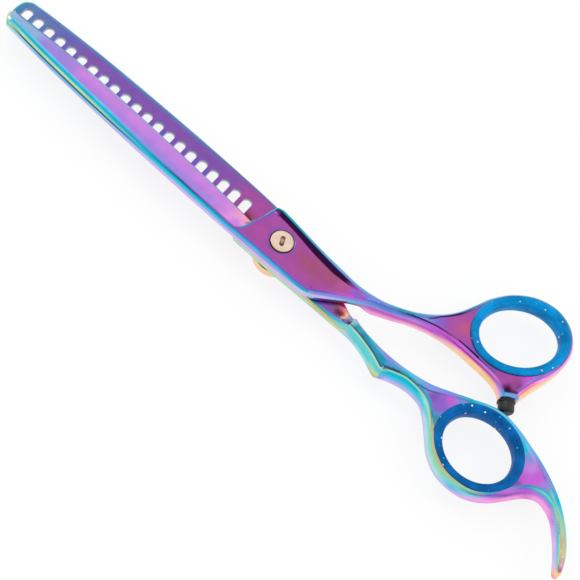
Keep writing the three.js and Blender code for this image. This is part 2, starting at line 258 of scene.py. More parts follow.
def tint_at(tints, share):
    """A colour a share of the way down a list of colours."""
    if len(tints) == 1:
        return tints[0]
    spot = share * (len(tints) - 1)
    index = min(int(spot), len(tints) - 2)
    return mix(tints[index], tints[index + 1], spot - index)


class Run:
    """One stretch of an outline, with the wall below it and the rails that follow it inside.

    A station is (place in the list of points, wall colours from top to bottom, rails, profile). Rails are
    pairs of a width in from the outline and a colour there. A profile is (widths, depths below the face),
    and a station that leaves it out keeps the one before.
    """

    def __init__(self, points, stations, smooth=True):
        self.rows = curve_samples(points) if smooth else line_samples(points)
        self.places = [station[0] for station in stations]
        self.walls, self.widths, self.depths, self.colours = [], [], [], []
        for _, wall, rails, *new_profile in stations:
            profile = new_profile[0] if new_profile else profile
            words = rails.split()
            widths = [float(word) for word in words[::2]]
            tints = [film_and_light(name) for name in wall.split()]
            self.walls.append(np.array([tint_at(tints, row / WALL_ROWS) for row in range(WALL_ROWS + 1)]))
            self.widths.append(np.array(widths))
            self.depths.append(np.interp(widths, *profile))
            self.colours.append(np.array([film_and_light(name) for name in words[1::2]]))

    def at(self, table, place):
        """A table's value at a place between two stations."""
        if place <= self.places[0]:
            return table[0]
        for i in range(len(self.places) - 1):
            if place <= self.places[i + 1]:
                share = (place - self.places[i]) / (self.places[i + 1] - self.places[i])
                return mix(table[i], table[i + 1], share)
        return table[-1]

    def width(self, rail, place):
        """How far in a rail runs at a place, or None if the run has fewer rails."""
        if rail >= len(self.widths[0]):
            return None
        return float(self.at(self.widths, place)[rail])


class Outline:
    """A closed outline made of runs, and how far inside it a point lies."""

    def __init__(self, runs):
        self.runs = runs
        self.points = np.array([row[:2] for run in runs for row in run.rows])
        self.owner = [(run, row[2]) for run in runs for row in run.rows]
        self.count = len(self.points)
        ahead = np.roll(self.points, -1, axis=0) - self.points
        ahead /= np.linalg.norm(ahead, axis=1)[:, None]
        behind = np.roll(ahead, 1, axis=0)
        along = ahead + behind
        along /= np.maximum(np.linalg.norm(along, axis=1)[:, None], 1e-6)
        self.inward = np.stack([-along[:, 1], along[:, 0]], axis=1)
        self.tree = kdtree.KDTree(self.count)
        for i, (x, y) in enumerate(self.points):
            self.tree.insert((x, y, 0), i)
        self.tree.balance()

    def nearest(self, x, y):
        """(distance, run, place in the run) of the outline's nearest point."""
        _, index, _ = self.tree.find((x, y, 0))
        best = (1e9, *self.owner[index])
        here = np.array((x, y))
        for start in (index - 1, index):
            a = self.points[start % self.count]
            b = self.points[(start + 1) % self.count]
            side = b - a
            share = min(max(float((here - a) @ side / (side @ side)), 0.0), 1.0)
            gap = float(np.linalg.norm(here - a - side * share))
            if gap < best[0] - 1e-9:
                run, place = self.owner[start % self.count]
                next_run, next_place = self.owner[(start + 1) % self.count]
                end = next_place if next_run is run else math.ceil(place + 1e-6)
                best = (gap, run, mix(place, end, share))
        return best

    def inset_by(self, width_at):
        """Lines that follow the outline inside it: width_at gives the inset from a run and place, or None.

        A line breaks where the outline turns too tightly for it.
        """
        chains = [[]]
        for spot, inward, (run, place) in zip(self.points, self.inward, self.owner):
            width = width_at(run, place)
            kept = None if width is None else spot + inward * width
            if kept is not None and self.nearest(*kept)[0] < width * CROWDED_SHARE - CROWDED_SLACK:
                kept = None
            last = chains[-1][-1] if chains[-1] else kept
            if kept is None or np.linalg.norm(kept - last) > 3 * SAMPLE:
                chains.append([])
            elif not chains[-1] or np.linalg.norm(kept - last) > RAIL_SPACING:
                chains[-1].append(kept)
        return [chain for chain in chains if len(chain) > 1]

    def inset(self, width):
        """Lines at one width inside the whole outline."""
        return self.inset_by(lambda run, place: width)

    def rails(self):
        """Every run's rails."""
        chains = []
        for k in range(1, max(len(run.widths[0]) for run in self.runs)):
            chains += self.inset_by(lambda run, place: run.width(k, place))
        return chains


def turned(x, y, angle):
    """A point turned about the origin."""
    return x * math.cos(angle) - y * math.sin(angle), x * math.sin(angle) + y * math.cos(angle)


def ellipse_points(x, y, turn, long, short, count):
    """Points round an ellipse, clockwise."""
    points = []
    for i in range(count):
        angle = -2 * math.pi * i / count
        across, up = turned(long * math.cos(angle), short * math.sin(angle), turn)
        points.append((x + across, y + up))
    return points


def ring_points(ring, share, count=96):
    """Points a share of the way from a ring's lip to its opening."""
    long = mix(ring["lip"][0], ring["opening"][0], share)
    short = mix(ring["lip"][1], ring["opening"][1], share)
    return ellipse_points(ring["x"], ring["y"], ring["turn"], long, short, count)


def circle_points(radius, count=72):
    return ellipse_points(0, 0, 0, radius, radius, count)


def clear_of_rim(outline, spots, clearance):
    """The spots that lie further than the clearance from the outline."""
    return [spot for spot in spots if outline.nearest(*spot)[0] > clearance]


def closed_circle(radius, count=72):
    points = circle_points(radius, count)
    return points + points[:1]


def inside(polygon, points):
    """Which of the points lie inside the polygon."""
    points = np.asarray(points, float)
    x, y = points[:, 0], points[:, 1]
    result = np.zeros(len(points), bool)
    a = np.asarray(polygon, float)
    for (x0, y0), (x1, y1) in zip(a, np.roll(a, -1, axis=0)):
        if y0 == y1:
            continue
        crosses = (y0 > y) != (y1 > y)
        result ^= crosses & (x < x0 + (y - y0) * (x1 - x0) / (y1 - y0))
    return result


def grid_points(outline, holes, taken):
    """Points inside the outline and outside its holes, on a triangular grid, clear of the taken ones."""
    low, high = outline.points.min(axis=0), outline.points.max(axis=0)
    rows = int((high[1] - low[1]) / GRID_ROW) + 1
    columns = int((high[0] - low[0]) / GRID) + 1
    spots = np.array([
        (low[0] + (i + 0.5 * (j % 2)) * GRID, low[1] + j * GRID_ROW)
        for j in range(rows) for i in range(columns)
    ])
    keep = inside(outline.points, spots)
    for hole in holes:
        keep &= ~inside(hole, spots)
    spots = spots[keep]
    tree = kdtree.KDTree(len(taken))
    for i, (x, y) in enumerate(taken):
        tree.insert((x, y, 0), i)
    tree.balance()
    return [spot for spot in spots if tree.find((*spot, 0))[2] > GRID_CLEARANCE]


class Sheet:
    """One face of a half: a triangulated outline with holes, whose first points are the outline's."""

    def __init__(self, outline, holes, lines):
        points, edges = [], []

        def add_chain(chain, closed):
            start = len(points)
            points.extend(Vector(spot) for spot in chain)
            edges.extend((start + i, start + i + 1) for i in range(len(chain) - 1))
            if closed:
                edges.append((start + len(chain) - 1, start))

        add_chain(outline.points, True)
        for hole in holes:
            add_chain(hole, True)
        for line in lines:
            add_chain(line, False)
        points.extend(Vector(spot) for spot in grid_points(outline, holes, [tuple(p) for p in points]))
        spots, _, faces, origin, _, _ = delaunay_2d_cdt(points, edges, [], 0, SAME_SPOT)
        spots = np.array([tuple(spot) for spot in spots])
        centres = np.array([spots[list(face)].mean(axis=0) for face in faces])
        keep = inside(outline.points, centres)
        for hole in holes:
            keep &= ~inside(hole, centres)
        faces = [face for face, kept in zip(faces, keep) if kept]
        used = sorted({corner for face in faces for corner in face})
        place = {old: new for new, old in enumerate(used)}
        self.spots = spots[used]
        self.faces = [tuple(place[corner] for corner in face) for face in faces]
        where = {}
        for new, old in enumerate(used):
            for source in origin[old]:
                where[source] = new
        self.rim = [where[i] for i in range(outline.count)]
        self.hole_rims = []
        start = outline.count
        for hole in holes:
            self.hole_rims.append([where[start + i] for i in range(len(hole))])
            start += len(hole)


# ---------------------------------------------------------------- meshes
def make_object(name, verts, faces, colours, sharp_degrees):
    """A mesh object from vertices in millimetres; colours, if given, hold one colour per vertex, painted
    highlights and shade among them.
    """
    mesh = bpy.data.meshes.new(name)
    mesh.from_pydata([tuple(np.asarray(v, float) * MM) for v in verts], [], faces)
    if colours is not None:
        layer = mesh.color_attributes.new("film_and_light", "FLOAT_COLOR", "POINT")
        rgba = np.ones((len(verts), 4), np.float32)
        rgba[:, :3] = colours
        layer.data.foreach_set("color", rgba.ravel())
    mesh.validate()
    work = bmesh.new()
    work.from_mesh(mesh)
    bmesh.ops.recalc_face_normals(work, faces=work.faces)
    work.to_mesh(mesh)
    work.free()
    mesh.shade_smooth()
    mesh.set_sharp_from_angle(angle=math.radians(sharp_degrees))
    piece = bpy.data.objects.new(name, mesh)
    bpy.context.scene.collection.objects.link(piece)
    return piece


def place_piece(piece, body, node, material):
    piece.data.materials.append(material)
    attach(piece, body)
    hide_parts(node)


def relief(name, outline, holes, front, rear, front_lines, rear_lines, sharp_degrees=24):
    """A closed half from its outline: a front sheet, a rear sheet and the walls between them.

    front and rear give (height, colour) at a point from its distance inside the outline.
    """
    verts, colours, faces = [], [], []

    def add_sheet(sheet, surface):
        start = len(verts)
        rim = set(sheet.rim)
        for i, (x, y) in enumerate(sheet.spots):
            gap, run, place = outline.nearest(x, y)
            height, colour = surface(x, y, 0.0 if i in rim else gap, run, place)
            verts.append((x, y, height))
            colours.append(colour)
        return start

    front_sheet = Sheet(outline, holes, front_lines)
    rear_sheet = Sheet(outline, holes, rear_lines)
    top = add_sheet(front_sheet, front)
    bottom = add_sheet(rear_sheet, rear)
    faces.extend(tuple(top + i for i in face) for face in front_sheet.faces)
    faces.extend(tuple(bottom + i for i in reversed(face)) for face in rear_sheet.faces)

    def add_wall(upper, lower, tints, rows):
        """Rows of faces between two loops; tints gives each loop point its colours from top to bottom."""
        loops = [upper]
        count = len(upper)
        for row in range(1, rows):
            share = row / rows
            loop = []
            for i in range(count):
                a, b = np.array(verts[upper[i]]), np.array(verts[lower[i]])
                loop.append(len(verts))
                verts.append(tuple(mix(a, b, share)))
                colours.append(tint_at(tints[i], share))
            loops.append(loop)
        loops.append(lower)
        for above, below in zip(loops, loops[1:]):
            for i in range(count):
                j = (i + 1) % count
                faces.append((above[i], below[i], below[j], above[j]))

    tints = [run.at(run.walls, place) for run, place in outline.owner]
    add_wall([top + i for i in front_sheet.rim], [bottom + i for i in rear_sheet.rim], tints, WALL_ROWS)
    # A hole's wall is grey, painted darker slate towards the rear as shade.
    bore_grey_and_shade = np.array([film_and_light("grey"), film_and_light("slate")])
    for upper, lower in zip(front_sheet.hole_rims, rear_sheet.hole_rims):
        bores = [bore_grey_and_shade] * len(upper)
        add_wall([top + i for i in upper], [bottom + i for i in lower], bores, HOLE_ROWS)
    return make_object(name, verts, faces, colours, sharp_degrees)


def railed(base, field):
    """A surface whose height and colour follow the nearest run's rails, then the base and the field."""

    def surface(x, y, gap, run, place):
        widths = run.at(run.widths, place)
        depths = run.at(run.depths, place)
        colours = run.at(run.colours, place)
        open_colour = field(x, y)
        colours = np.where(np.isnan(colours), open_colour, colours)
        depth = np.interp(gap, widths, depths)
        colour = np.array([np.interp(gap, widths, colours[:, i]) for i in range(3)])
        return base(x, y) + depth, colour

    return surface


def rimmed(base, field, depth):
    """A rear surface whose rounded rim takes the colour of the wall that meets it."""

    def surface(x, y, gap, run, place):
        share = min(gap / REAR_RIM_WIDTH, 1.0)
        lift = depth * (1 - math.sqrt(1 - (1 - share) ** 2))
        return base(x, y) + lift, mix(run.at(run.walls, place)[-1], field(x, y), ease(share))

    return surface


# ---------------------------------------------------------------- thumb half
# The line where the plate rises from the blade, from the cutting edge to where it fades in the back.
STEP_LINE = [
    (-9.0, 7.2), (-10.0, 3.2), (-11.4, -0.6), (-12.1, -3.7), (-13.0, -5.4), (-14.6, -6.1), (-20.0, -6.4),
]
STEP_LOW = -5.8  # the step has faded out below this Y
STEP_SIDE = -8.0  # no part of the step lies on the handle side of this X
STEP_COLOUR_SIDE = -4.0  # and its colours have faded there
STEP_SHADE = 0.5  # width of the dark line of painted shade on the blade's side of the step
STEP_HIGHLIGHT_TURN = 0.8  # width over which the painted highlight on the plate's side of the step turns from cyan to indigo
STEP_HIGHLIGHT_FADE = 2.0  # width over which the painted highlight fades into the plate's own colour
PLATE_SLOPE_START = 31.0
PLATE_SLOPE_END = 43.0
PLATE_FADE_START = -11.5
PLATE_FADE_RUN = 7.0  # length over which the plate sinks to the blade's back
BLADE_LEVEL_SHARE = 0.35  # share of the blade's width, from its back, that is level
BLADE_CURVE = 1.4  # how hollow the rest of its face is
SEAT_MARGIN = 0.05
SEAT_SHADE_WIDTH = 1.35  # width of the ring of painted shade round the screw's seat
SEAT_DROP = 0.12  # how far the seat's edge is rounded down
SEAT_EDGE = 0.3  # width of the rounding
SEAT_LOOPS = (0, 0.1, 0.4)  # how far outside the seat the mesh's loops run
STEP_SHIFTS = (-0.5, -0.1, 0.1, 0.5, 1.2)  # how far from the step the mesh's lines run, along X
STEP_SAMPLE = 0.3  # spacing of their points
BLADE_MIDDLE = (-88, 2.5)  # a point on the middle line of the solid blade's face
BLADE_MIDDLE_RUN = 15  # the middle line falls by 1 over this length
BACK_LINE = [(-112.3, -0.1), (-96.5, -2.0), (-78.5, -3.7), (-47.3, -6.0), (-12.6, -7.8)]
CUTTING_LINE = [(-113.6, 6.2), (-93.0, 6.4), (-66.0, 5.4), (-42.5, 3.7), (-17.1, 1.4), (-11.1, 0.6)]

# Profiles: (widths in from the outline, depths below the face).
CUTTING_BEVEL = ((0, 0.3), (-0.1, 0))
TIP_ROUND = ((0, 0.5, 1.4), (-0.7, -0.2, 0))
BLADE_FLANK = ((0, 0.5, 0.7, 1.4, 1.8, 2.3, 2.7), (-1.4, -1.2, -0.9, -0.6, -0.35, -0.1, 0))
PLATE_FLANK = ((0, 0.5, 1.0, 1.5, 2.1, 2.8), (-2.2, -1.8, -1.3, -0.65, -0.2, 0))
HANDLE_ROUND = ((0, 0.25, 0.45, 1.3, 1.6), (-1.1, -1.0, -0.8, -0.1, 0))
RING_ROUND = ((0, 0.2, 0.5, 1.3), (-0.9, -0.5, -0.1, 0))
BOSS_ROUND = ((0, 0.4, 1.0, 1.5), (-0.7, -0.3, -0.05, 0))
PLATE_BEVEL = ((0, 0.3, 1.3, 1.6, 3.2), (-0.9, -0.55, -0.4, -0.1, 0))


def line_height(line, x):
    return float(np.interp(x, [spot[0] for spot in line], [spot[1] for spot in line]))


def blade_share(x, y):
    """0 on the solid blade's back, 1 on its cutting edge."""
    back = line_height(BACK_LINE, x)
    return min(max((y - back) / (line_height(CUTTING_LINE, x) - back), 0.0), 1.0)


def blade_height(x, y):
    """The solid blade's front face: level beside its back, then falling in a long curve to the edge."""
    fall = max(blade_share(x, y) - BLADE_LEVEL_SHARE, 0.0) / (1 - BLADE_LEVEL_SHARE)
    return BLADE_TOP - (BLADE_TOP - EDGE_TOP) * fall ** BLADE_CURVE


def plate_height(x):
    handle_share = (x - PLATE_SLOPE_START) / (PLATE_SLOPE_END - PLATE_SLOPE_START)
    lowering = (PLATE_FRONT - HANDLE_FRONT) * ease(handle_share)
    fading = (PLATE_FRONT - BLADE_TOP) * ease((PLATE_FADE_START - x) / PLATE_FADE_RUN)
    return PLATE_FRONT - lowering - fading


def past_step(x, y):
    """How far a point lies on the handle side of the step line, along X."""
    line = sorted(STEP_LINE, key=lambda spot: spot[1])
    return x - float(np.interp(y, [spot[1] for spot in line], [spot[0] for spot in line]))


def thumb_front_height(x, y):
    if x < STEP_SIDE and past_step(x, y) < 0:
        return blade_height(x, y)
    return plate_height(x)


def thumb_rear_height(x, y):
    if x < 0:
        return THUMB_RIDE
    return mix(THUMB_RIDE, HANDLE_REAR, ease((math.hypot(x, y) - THUMB_SHOULDER) / THUMB_RISE_RUN))


def blade_middle(x):
    """Y of the middle of the solid blade's face."""
    return BLADE_MIDDLE[1] - (x - BLADE_MIDDLE[0]) / BLADE_MIDDLE_RUN


BLADE_FIELD = shade_field([
    (-113, 3, "powder"), (-110, 4.5, "powder"), (-104, 4.5, "powder"), (-104, 2, "powder"),
    (-98, 3, "mauve"), (-90, 4, "mauve"), (-91, 1.5, "mauve"), (-16, -2.6, "pink", 2),
    (-13.4, 0.6, "salmon", 0.4), (-13.6, -0.5, "pink", 0.5), (-13.2, -2.6, "pink", 0.8),
    (-12.8, -0.4, "peach", 0.4), (-12.2, -1.0, "dusk", 0.3), (-14.6, -4.6, "lilac", 0.8),
] + [
    (x, blade_middle(x) + 0.6, "lilac") for x in range(-82, -16, 3)
] + [
    (x, blade_middle(x) - 3.8, "mauve") for x in range(-82, -22, 3)
], 2.5)

PLATE_FIELD = shade_field([
    (-7.5, 6.4, "magenta"), (-9, 0, "magenta"), (-5, 0, "magenta"), (-10, -4, "magenta"),
    (-5, -5, "magenta"), (5, -5.4, "magenta"), (13, -5.6, "magenta"), (6, -3, "magenta"),
    (9, 0.5, "dusk"), (14, -1, "dusk"), (19, 0.5, "dusk"), (19, -3.6, "magenta"), (8, 3.4, "magenta"),
    (24.5, 1.5, "rose"), (28.5, 2.6, "violet", 1), (26, -0.4, "magenta"), (31, 2.4, "violet", 1),
    (33, 4.2, "periwinkle", 1), (37, 6, "sky", 1), (41, 7.7, "cyan", 1), (46, 10.6, "blue", 1.5),
    (50, 13, "periwinkle", 1.5), (53, 14.2, "violet", 1.5), (56, 16, "magenta"), (58.5, 20, "magenta"),
    (61, 18, "rose", 1.5), (63, 15, "magenta"), (60, 24, "magenta", 1), (60.6, 30, "iris", 1),
    (68, 13.4, "purple", 1), (74, 13, "purple", 1), (82, 14, "magenta", 1.5), (84.6, 12.1, "magenta", 1),
    (88, 17, "orchid", 1.5), (80, 12.4, "magenta", 1), (83.6, 10.6, "plum", 0.7),
    (86, 11.6, "plum", 0.5), (90, 24, "mauve", 1), (76, 44, "teal"), (88, 40, "teal"),
], 2.5)

THUMB_REAR_FIELD = shade_field([
    (-110, 4, "teal"), (-90, 2, "blue"), (-60, 1, "indigo"), (-30, 0, "violet"), (-8, 0, "magenta"),
    # The blush and cream under the thumb half, over the scoop, are painted light for the scoop to reflect.
    (12, 0, "orchid"), (26, -1, "blush", 3), (33, 4, "cream", 2), (45, 10, "blue"), (58, 18, "magenta"),
    (75, 12.5, "violet"), (88, 16, "magenta"), (76, 44, "cyan"), (92, 32, "blue"),
], 5.0)


def thumb_field(x, y):
    """The face's colour, with a painted cyan highlight on the plate's side of the step and a dark line of
    painted shade beside it.
    """
    gap = past_step(x, y)
    if x > STEP_COLOUR_SIDE or y < STEP_LOW:
        return PLATE_FIELD(x, y)
    if gap < 0:
        return mix(film_and_light("ink"), BLADE_FIELD(x, y), ease(-gap / STEP_SHADE))
    step_highlight = mix(film_and_light("cyan"), film_and_light("indigo"), ease(gap / STEP_HIGHLIGHT_TURN))
    return mix(step_highlight, PLATE_FIELD(x, y), ease(gap / STEP_HIGHLIGHT_FADE))


def thumb_outline():
    cutting_edge = Run(
        [(-11.1, 0.6), (-17.1, 1.4), (-42.5, 3.7), (-66, 5.4), (-93, 6.4), (-113.8, 6.2)],
        [
            (0, "salmon peach", "0 salmon .3 face .6 face", CUTTING_BEVEL),
            (1, "aqua ice", "0 aqua .3 aqua .6 face"),
            (5, "aqua ice", "0 aqua .4 aqua .8 face"),
        ])
    tip = Run(
        [(-113.8, 6.2), (-114.3, 4.8), (-113.9, 2.3), (-112.3, -0.1)],
        [
            (0, "peach", "0 peach .5 aqua 1.4 face", TIP_ROUND),
            (1, "aqua", "0 aqua .5 cyan 1.4 face"),
            (2.2, "yellow ice", "0 yellow .5 yellow 1.4 face"),
            (3, "aqua ice", "0 aqua .5 aqua 1.4 face"),
        ])
    # On the solid blade's back, the yellow and lime lines are painted highlights along its ridge, and the
    # dark pine lines are painted shade in the groove beside it.
    blade = "0 {} .25 sky .35 pine .55 pine .75 {} 1.1 {} 1.5 cyan 1.9 cyan 2.4 sky 3.0 face"
    plate = "0 lavender .3 {} .57 {} .8 {} 1.0 blue 1.25 indigo 1.45 violet 1.7 magenta 2.1 face 2.8 face"
    back = Run(
        BACK_LINE + [(3, -8.3), (14, -8.6), (17, -8)],
        [
            (0, "ice",
             "0 aqua .3 aqua .55 yellow .8 lime 1.1 aqua 1.6 cyan 1.9 cyan 2.2 sky 2.7 powder 3.1 face",
             BLADE_FLANK),
            (0.4, "ice lavender", blade.format("ice", "lime", "lime")),
            (1, "sky lavender", blade.format("sky", "lime", "lime")),
            (2, "sky lavender", blade.format("sky", "lime", "lime")),
            (2.4, "sky lavender", blade.format("lavender", "sage", "aqua")),
            (2.9, "lavender",
             "0 lavender .3 sky .5 sky .7 cyan .9 cyan 1.2 cyan 1.45 teal 1.7 blue 2.1 periwinkle 2.8 face"),
            (3.3, "lavender",
             "0 lavender .3 sky .6 sky .9 cyan 1.2 cyan 1.4 pine 1.6 pine 1.75 indigo 2.1 mauve 2.6 face"),
            (3.75, "lavender",
             "0 lavender .3 sky .6 sky .9 cyan 1.2 teal 1.4 teal 1.6 iris 1.75 violet 2.1 face 2.6 face"),
            (4, "lavender", plate.format("mauve", "sky", "cyan"), PLATE_FLANK),
            (5, "lavender", plate.format("mauve", "sky", "cyan")),
            (6, "lavender", plate.format("ice", "cyan", "teal")),
            (7, "lavender", plate.format("ice", "sky", "blue")),
        ])
    # Along the thumb's lower shank, the navy and plum lines are painted shade in its creases, and the plum at
    # the foot of the wall by the shoulder is painted shade in the gap over the finger half.
    lower_shank = Run(
        [(17, -8), (19, -6.9), (23.3, -3.8), (28.6, 0), (34.1, 2.8), (41.2, 6.1), (47.1, 8.9), (53.8, 11.0),
         (61.3, 11.9), (69.7, 11.6), (77.3, 10.8), (81.2, 9.4), (83, 7.6)],
        [
            (0, "lavender teal", "0 ice .4 lavender .8 powder 1.1 periwinkle 1.5 indigo 1.9 magenta 2.6 face",
             PLATE_FLANK),
            (1.5, "lavender teal",
             "0 lavender .4 lavender .8 periwinkle 1.1 periwinkle 1.5 indigo 1.9 magenta 2.6 face"),
            (3, "sky plum", "0 sky .3 sky .5 mauve .8 mauve 1.0 orchid 1.3 orchid 1.8 face"),
            (4, "mauve hot pink pink", "0 mauve .25 mauve .45 blue .9 blue 1.2 indigo 1.6 face 2 face",
             HANDLE_ROUND),
            (5, "orchid hot pink pink", "0 orchid .15 mauve .45 blue .9 blue 1.2 iris 1.6 face 2 face"),
            (6, "lilac hot pink peach",
             "0 lilac .45 mauve 1.0 indigo 1.15 navy 1.35 navy 1.6 steel 2.0 face"),
            (7, "orchid hot pink peach",
             "0 orchid .45 orchid 1.0 orchid 1.15 plum 1.35 plum 1.6 face 2.0 face"),
            (8, "hot pink peach peach", "0 hot .25 hot .5 orchid 1.15 orchid 1.25 plum 1.45 plum 1.7 face"),
            (9, "pink peach peach peach", "0 hot .35 hot .6 lilac .95 violet 1.1 navy 1.4 navy 1.7 steel"),
            (10, "rose peach peach peach", "0 rose .2 hot .65 lilac .9 lilac 1.15 purple 1.5 face 2 face"),
            (11, "orchid pink peach peach",
             "0 mauve .25 mauve .65 purple .8 purple 1.1 face 1.5 face 2 face"),
            (12, "orchid pink peach peach", "0 teal .25 cyan .45 cyan .9 cyan 1.1 teal 1.3 violet 1.6 face"),
        ])
    boss_end = Run(
        [(83, 7.6), (87.9, 10.84)],
        [
            (0, "cyan violet", "0 cyan .4 sky 1.0 cyan 1.5 face", BOSS_ROUND),
            (1, "periwinkle violet", "0 periwinkle .4 periwinkle 1.0 mauve 1.5 face"),
        ])
    upper_side = Run(
        [(87.9, 10.84), (89.4, 16.8), (91.45, 24.0), (92.6, 30.4), (91.4, 37.4), (87.1, 43), (80.4, 45.6),
         (72.6, 44.3), (65.9, 39.7), (61.3, 33.4), (58.7, 27.3), (56, 21.7), (52, 16.7), (46.9, 12.5),
         (41.1, 9.4), (34.9, 6.7), (27.7, 5.7), (19, 6.4), (10.6, 7.3), (1.4, 8.7), (-4, 9.5), (-6.6, 9.7),
         (-8.4, 9), (-9, 7.2)],
        [
            (0, "peach", "0 peach .5 peach .9 salmon 1.2 rose 1.8 violet 2.4 purple 3.0 face", HANDLE_ROUND),
            (1, "peach", "0 peach .5 peach .9 salmon 1.2 rose 1.8 magenta 2.4 mauve 3.0 face"),
            (2, "peach", "0 peach .3 blush .6 pink 1.1 orchid 1.6 mauve 2.2 steel 2.6 face", RING_ROUND),
            (3, "blush peach", "0 blush .3 blush .7 pink .9 iris 1.2 iris 1.6 teal 2.0 teal"),
            (4, "blush peach", "0 blush .3 blush .6 lilac .9 iris 1.2 iris 1.6 teal 2.0 teal"),
            (6, "aqua mint", "0 mint .3 aqua .6 teal .9 teal 1.2 teal 1.6 teal 2.0 teal"),
            (8, "sky lavender", "0 ice .3 ice .6 powder .9 steel 1.2 steel 1.6 steel 2.0 steel"),
            (10, "aqua mint", "0 aqua .35 teal .7 steel 1.0 steel 1.3 iris 1.6 iris 2.0 face"),
            # The navy, plum and ink lines here are painted shade along the bevel's crease.
            (11, "sky lavender", "0 sky .2 sky .6 steel .9 navy 1.2 plum 1.6 face 2.0 face"),
            (12, "lavender", "0 lavender .3 lavender .8 periwinkle 1.0 navy 1.25 navy 1.6 face 2.0 face"),
            (13, "sky lavender", "0 sky .4 sky 1.4 steel 2.1 periwinkle 2.8 ink 3.0 lilac 3.8 face"),
            (14, "sky lavender", "0 sky .3 sky .6 cyan 1.2 teal 2.2 teal 2.9 periwinkle 3.6 face"),
            (15, "sky lavender", "0 sky .2 sky 1.2 periwinkle 2.0 periwinkle 2.8 sky 3.4 lilac 3.8 face"),
            (16, "sky lavender", "0 sky .5 sky 1.0 periwinkle 1.4 violet 2.0 magenta 2.6 face 3.2 face",
             PLATE_BEVEL),
            # From here to the plate's front corner, the dark plum band on the plate's upper bevel is a
            # painted reflection of something dark.
            (16.5, "sky lavender", "0 sky .5 sky 1.0 periwinkle 1.6 plum 3.1 plum 3.4 face 3.8 face"),
            (17, "sky lavender", "0 sky .4 sky 1.2 periwinkle 1.5 plum 3.7 plum 4.0 face 4.4 face"),
            (18, "sky lavender", "0 sky .3 sky .9 blue 1.2 plum 3.5 plum 3.8 face 4.2 face"),
            (19, "aqua lavender", "0 sky .3 cyan .9 teal 1.2 plum 3.0 plum 3.3 face 3.7 face"),
            (20.5, "aqua lavender", "0 aqua .3 cyan .9 teal 1.2 plum 3.0 plum 3.4 face 3.8 face"),
            (21.4, "mint peach", "0 aqua .3 cyan .7 teal .9 plum 2.8 plum 3.3 face 3.6 face"),
            (22.4, "mint peach", "0 mint .3 teal .5 teal .7 plum 2.0 plum 2.6 face 3.0 face"),
            # The cyan line at the plate's front corner is a painted highlight.
            (23, "teal", "0 teal .25 cyan .4 teal .5 indigo .6 indigo .8 violet 1.4 face"),
        ])
    # The cyan line along the plate's front edge is a painted highlight.
    plate_front_edge = Run(
        [(-9, 7.2), (-10, 3.2), (-11.1, 0.6)],
        [
            (0, "teal", "0 teal .25 cyan .5 indigo 1.2 face", BOSS_ROUND),
            (2, "teal plum", "0 cyan .25 blue .5 violet 1.2 face"),
        ])
    return Outline([cutting_edge, tip, back, lower_shank, boss_end, upper_side, plate_front_edge])


def thumb_half():
    outline = thumb_outline()
    holes = [circle_points(BUSH_BORE), ring_points(THUMB_RING, SLEEVE_SHARE)]
    seat = SCREW_HEAD_RADIUS + SEAT_GAP
    height = railed(thumb_front_height, thumb_field)

    def front(x, y, gap, run, place):
        z, colour = height(x, y, gap, run, place)
        past_seat = math.hypot(x, y) - seat - SEAT_MARGIN
        # The seat's floor, in the gap round the screw head, is painted dark plum as shade, and a ring of
        # painted shade fades out round it.
        if past_seat < 0:
            return SEAT_FLOOR, film_and_light("plum")
        if past_seat < SEAT_SHADE_WIDTH:
            drop = SEAT_DROP * (1 - min(past_seat / SEAT_EDGE, 1.0))
            return z - drop, mix(film_and_light("purple"), colour, ease(past_seat / SEAT_SHADE_WIDTH))
        return z, colour

    front_lines = outline.rails() + step_lines(outline)
    front_lines += [closed_circle(seat + shift) for shift in SEAT_LOOPS]
    rear = rimmed(thumb_rear_height, THUMB_REAR_FIELD, THUMB_RIM_DEPTH)
    rear_lines = [shoulder_arc(outline, THUMB_SHOULDER + step) for step in np.linspace(0, THUMB_RISE_RUN, 7)]
    rear_lines += outline.inset(REAR_RIM_WIDTH)
    piece = relief("thumb_half_steel", outline, holes, front, rear, front_lines, rear_lines)
    place_piece(piece, "thumb_half", "thumb_half", oxide_steel("thumb oxide"))
    return piece


def step_lines(outline):
    """Lines beside the step, so that the mesh can follow it."""
    step = curve_samples(STEP_LINE[1:], STEP_SAMPLE)[3:]
    rows = [[(x + shift, y) for x, y, _ in step] for shift in STEP_SHIFTS]
    return [clear_of_rim(outline, row, LINE_CLEARANCE) for row in rows]


def shoulder_arc(outline, radius):
    """The part of a circle about the pivot that lies inside the outline on the handle side."""
    angles = [math.radians(i / 2) for i in range(-180, 181)]
    spots = [(radius * math.cos(angle), radius * math.sin(angle)) for angle in angles]
    kept = inside(outline.points, spots)
    return clear_of_rim(outline, [spot for spot, keep in zip(spots, kept) if keep], LINE_CLEARANCE)


# ---------------------------------------------------------------- finger half
SCOOP = [(FINGER_SHOULDER, 0.0), (30.6, 0.4), (32.0, 1.3), (33.0, 2.4), (33.4, 3.1)]  # radius, rise
TOOTHED_END = -14.0  # the rear steps down to the plate's on the handle side of this X
TOOTHED_END_SPAN = (-6, 12)  # the step lies between these Y
REAR_RISE_START = 26.0
REAR_RISE_RUN = 12.0  # length over which the plate's rear reaches the handle's
TANG_END = (129.22, -27.43)
TANG_END_RADIUS = 1.12
TANG_END_ANGLES = np.linspace(-2.4, 0.72, 9)
TOOTH_TIPS = [(-112.9, 3.4), (-64, 1.6), (-14.8, -2.4)]  # the curve along the teeth's tips
SLOT_SIDE_STEPS = 8
SLOT_ARC_STEPS = 14

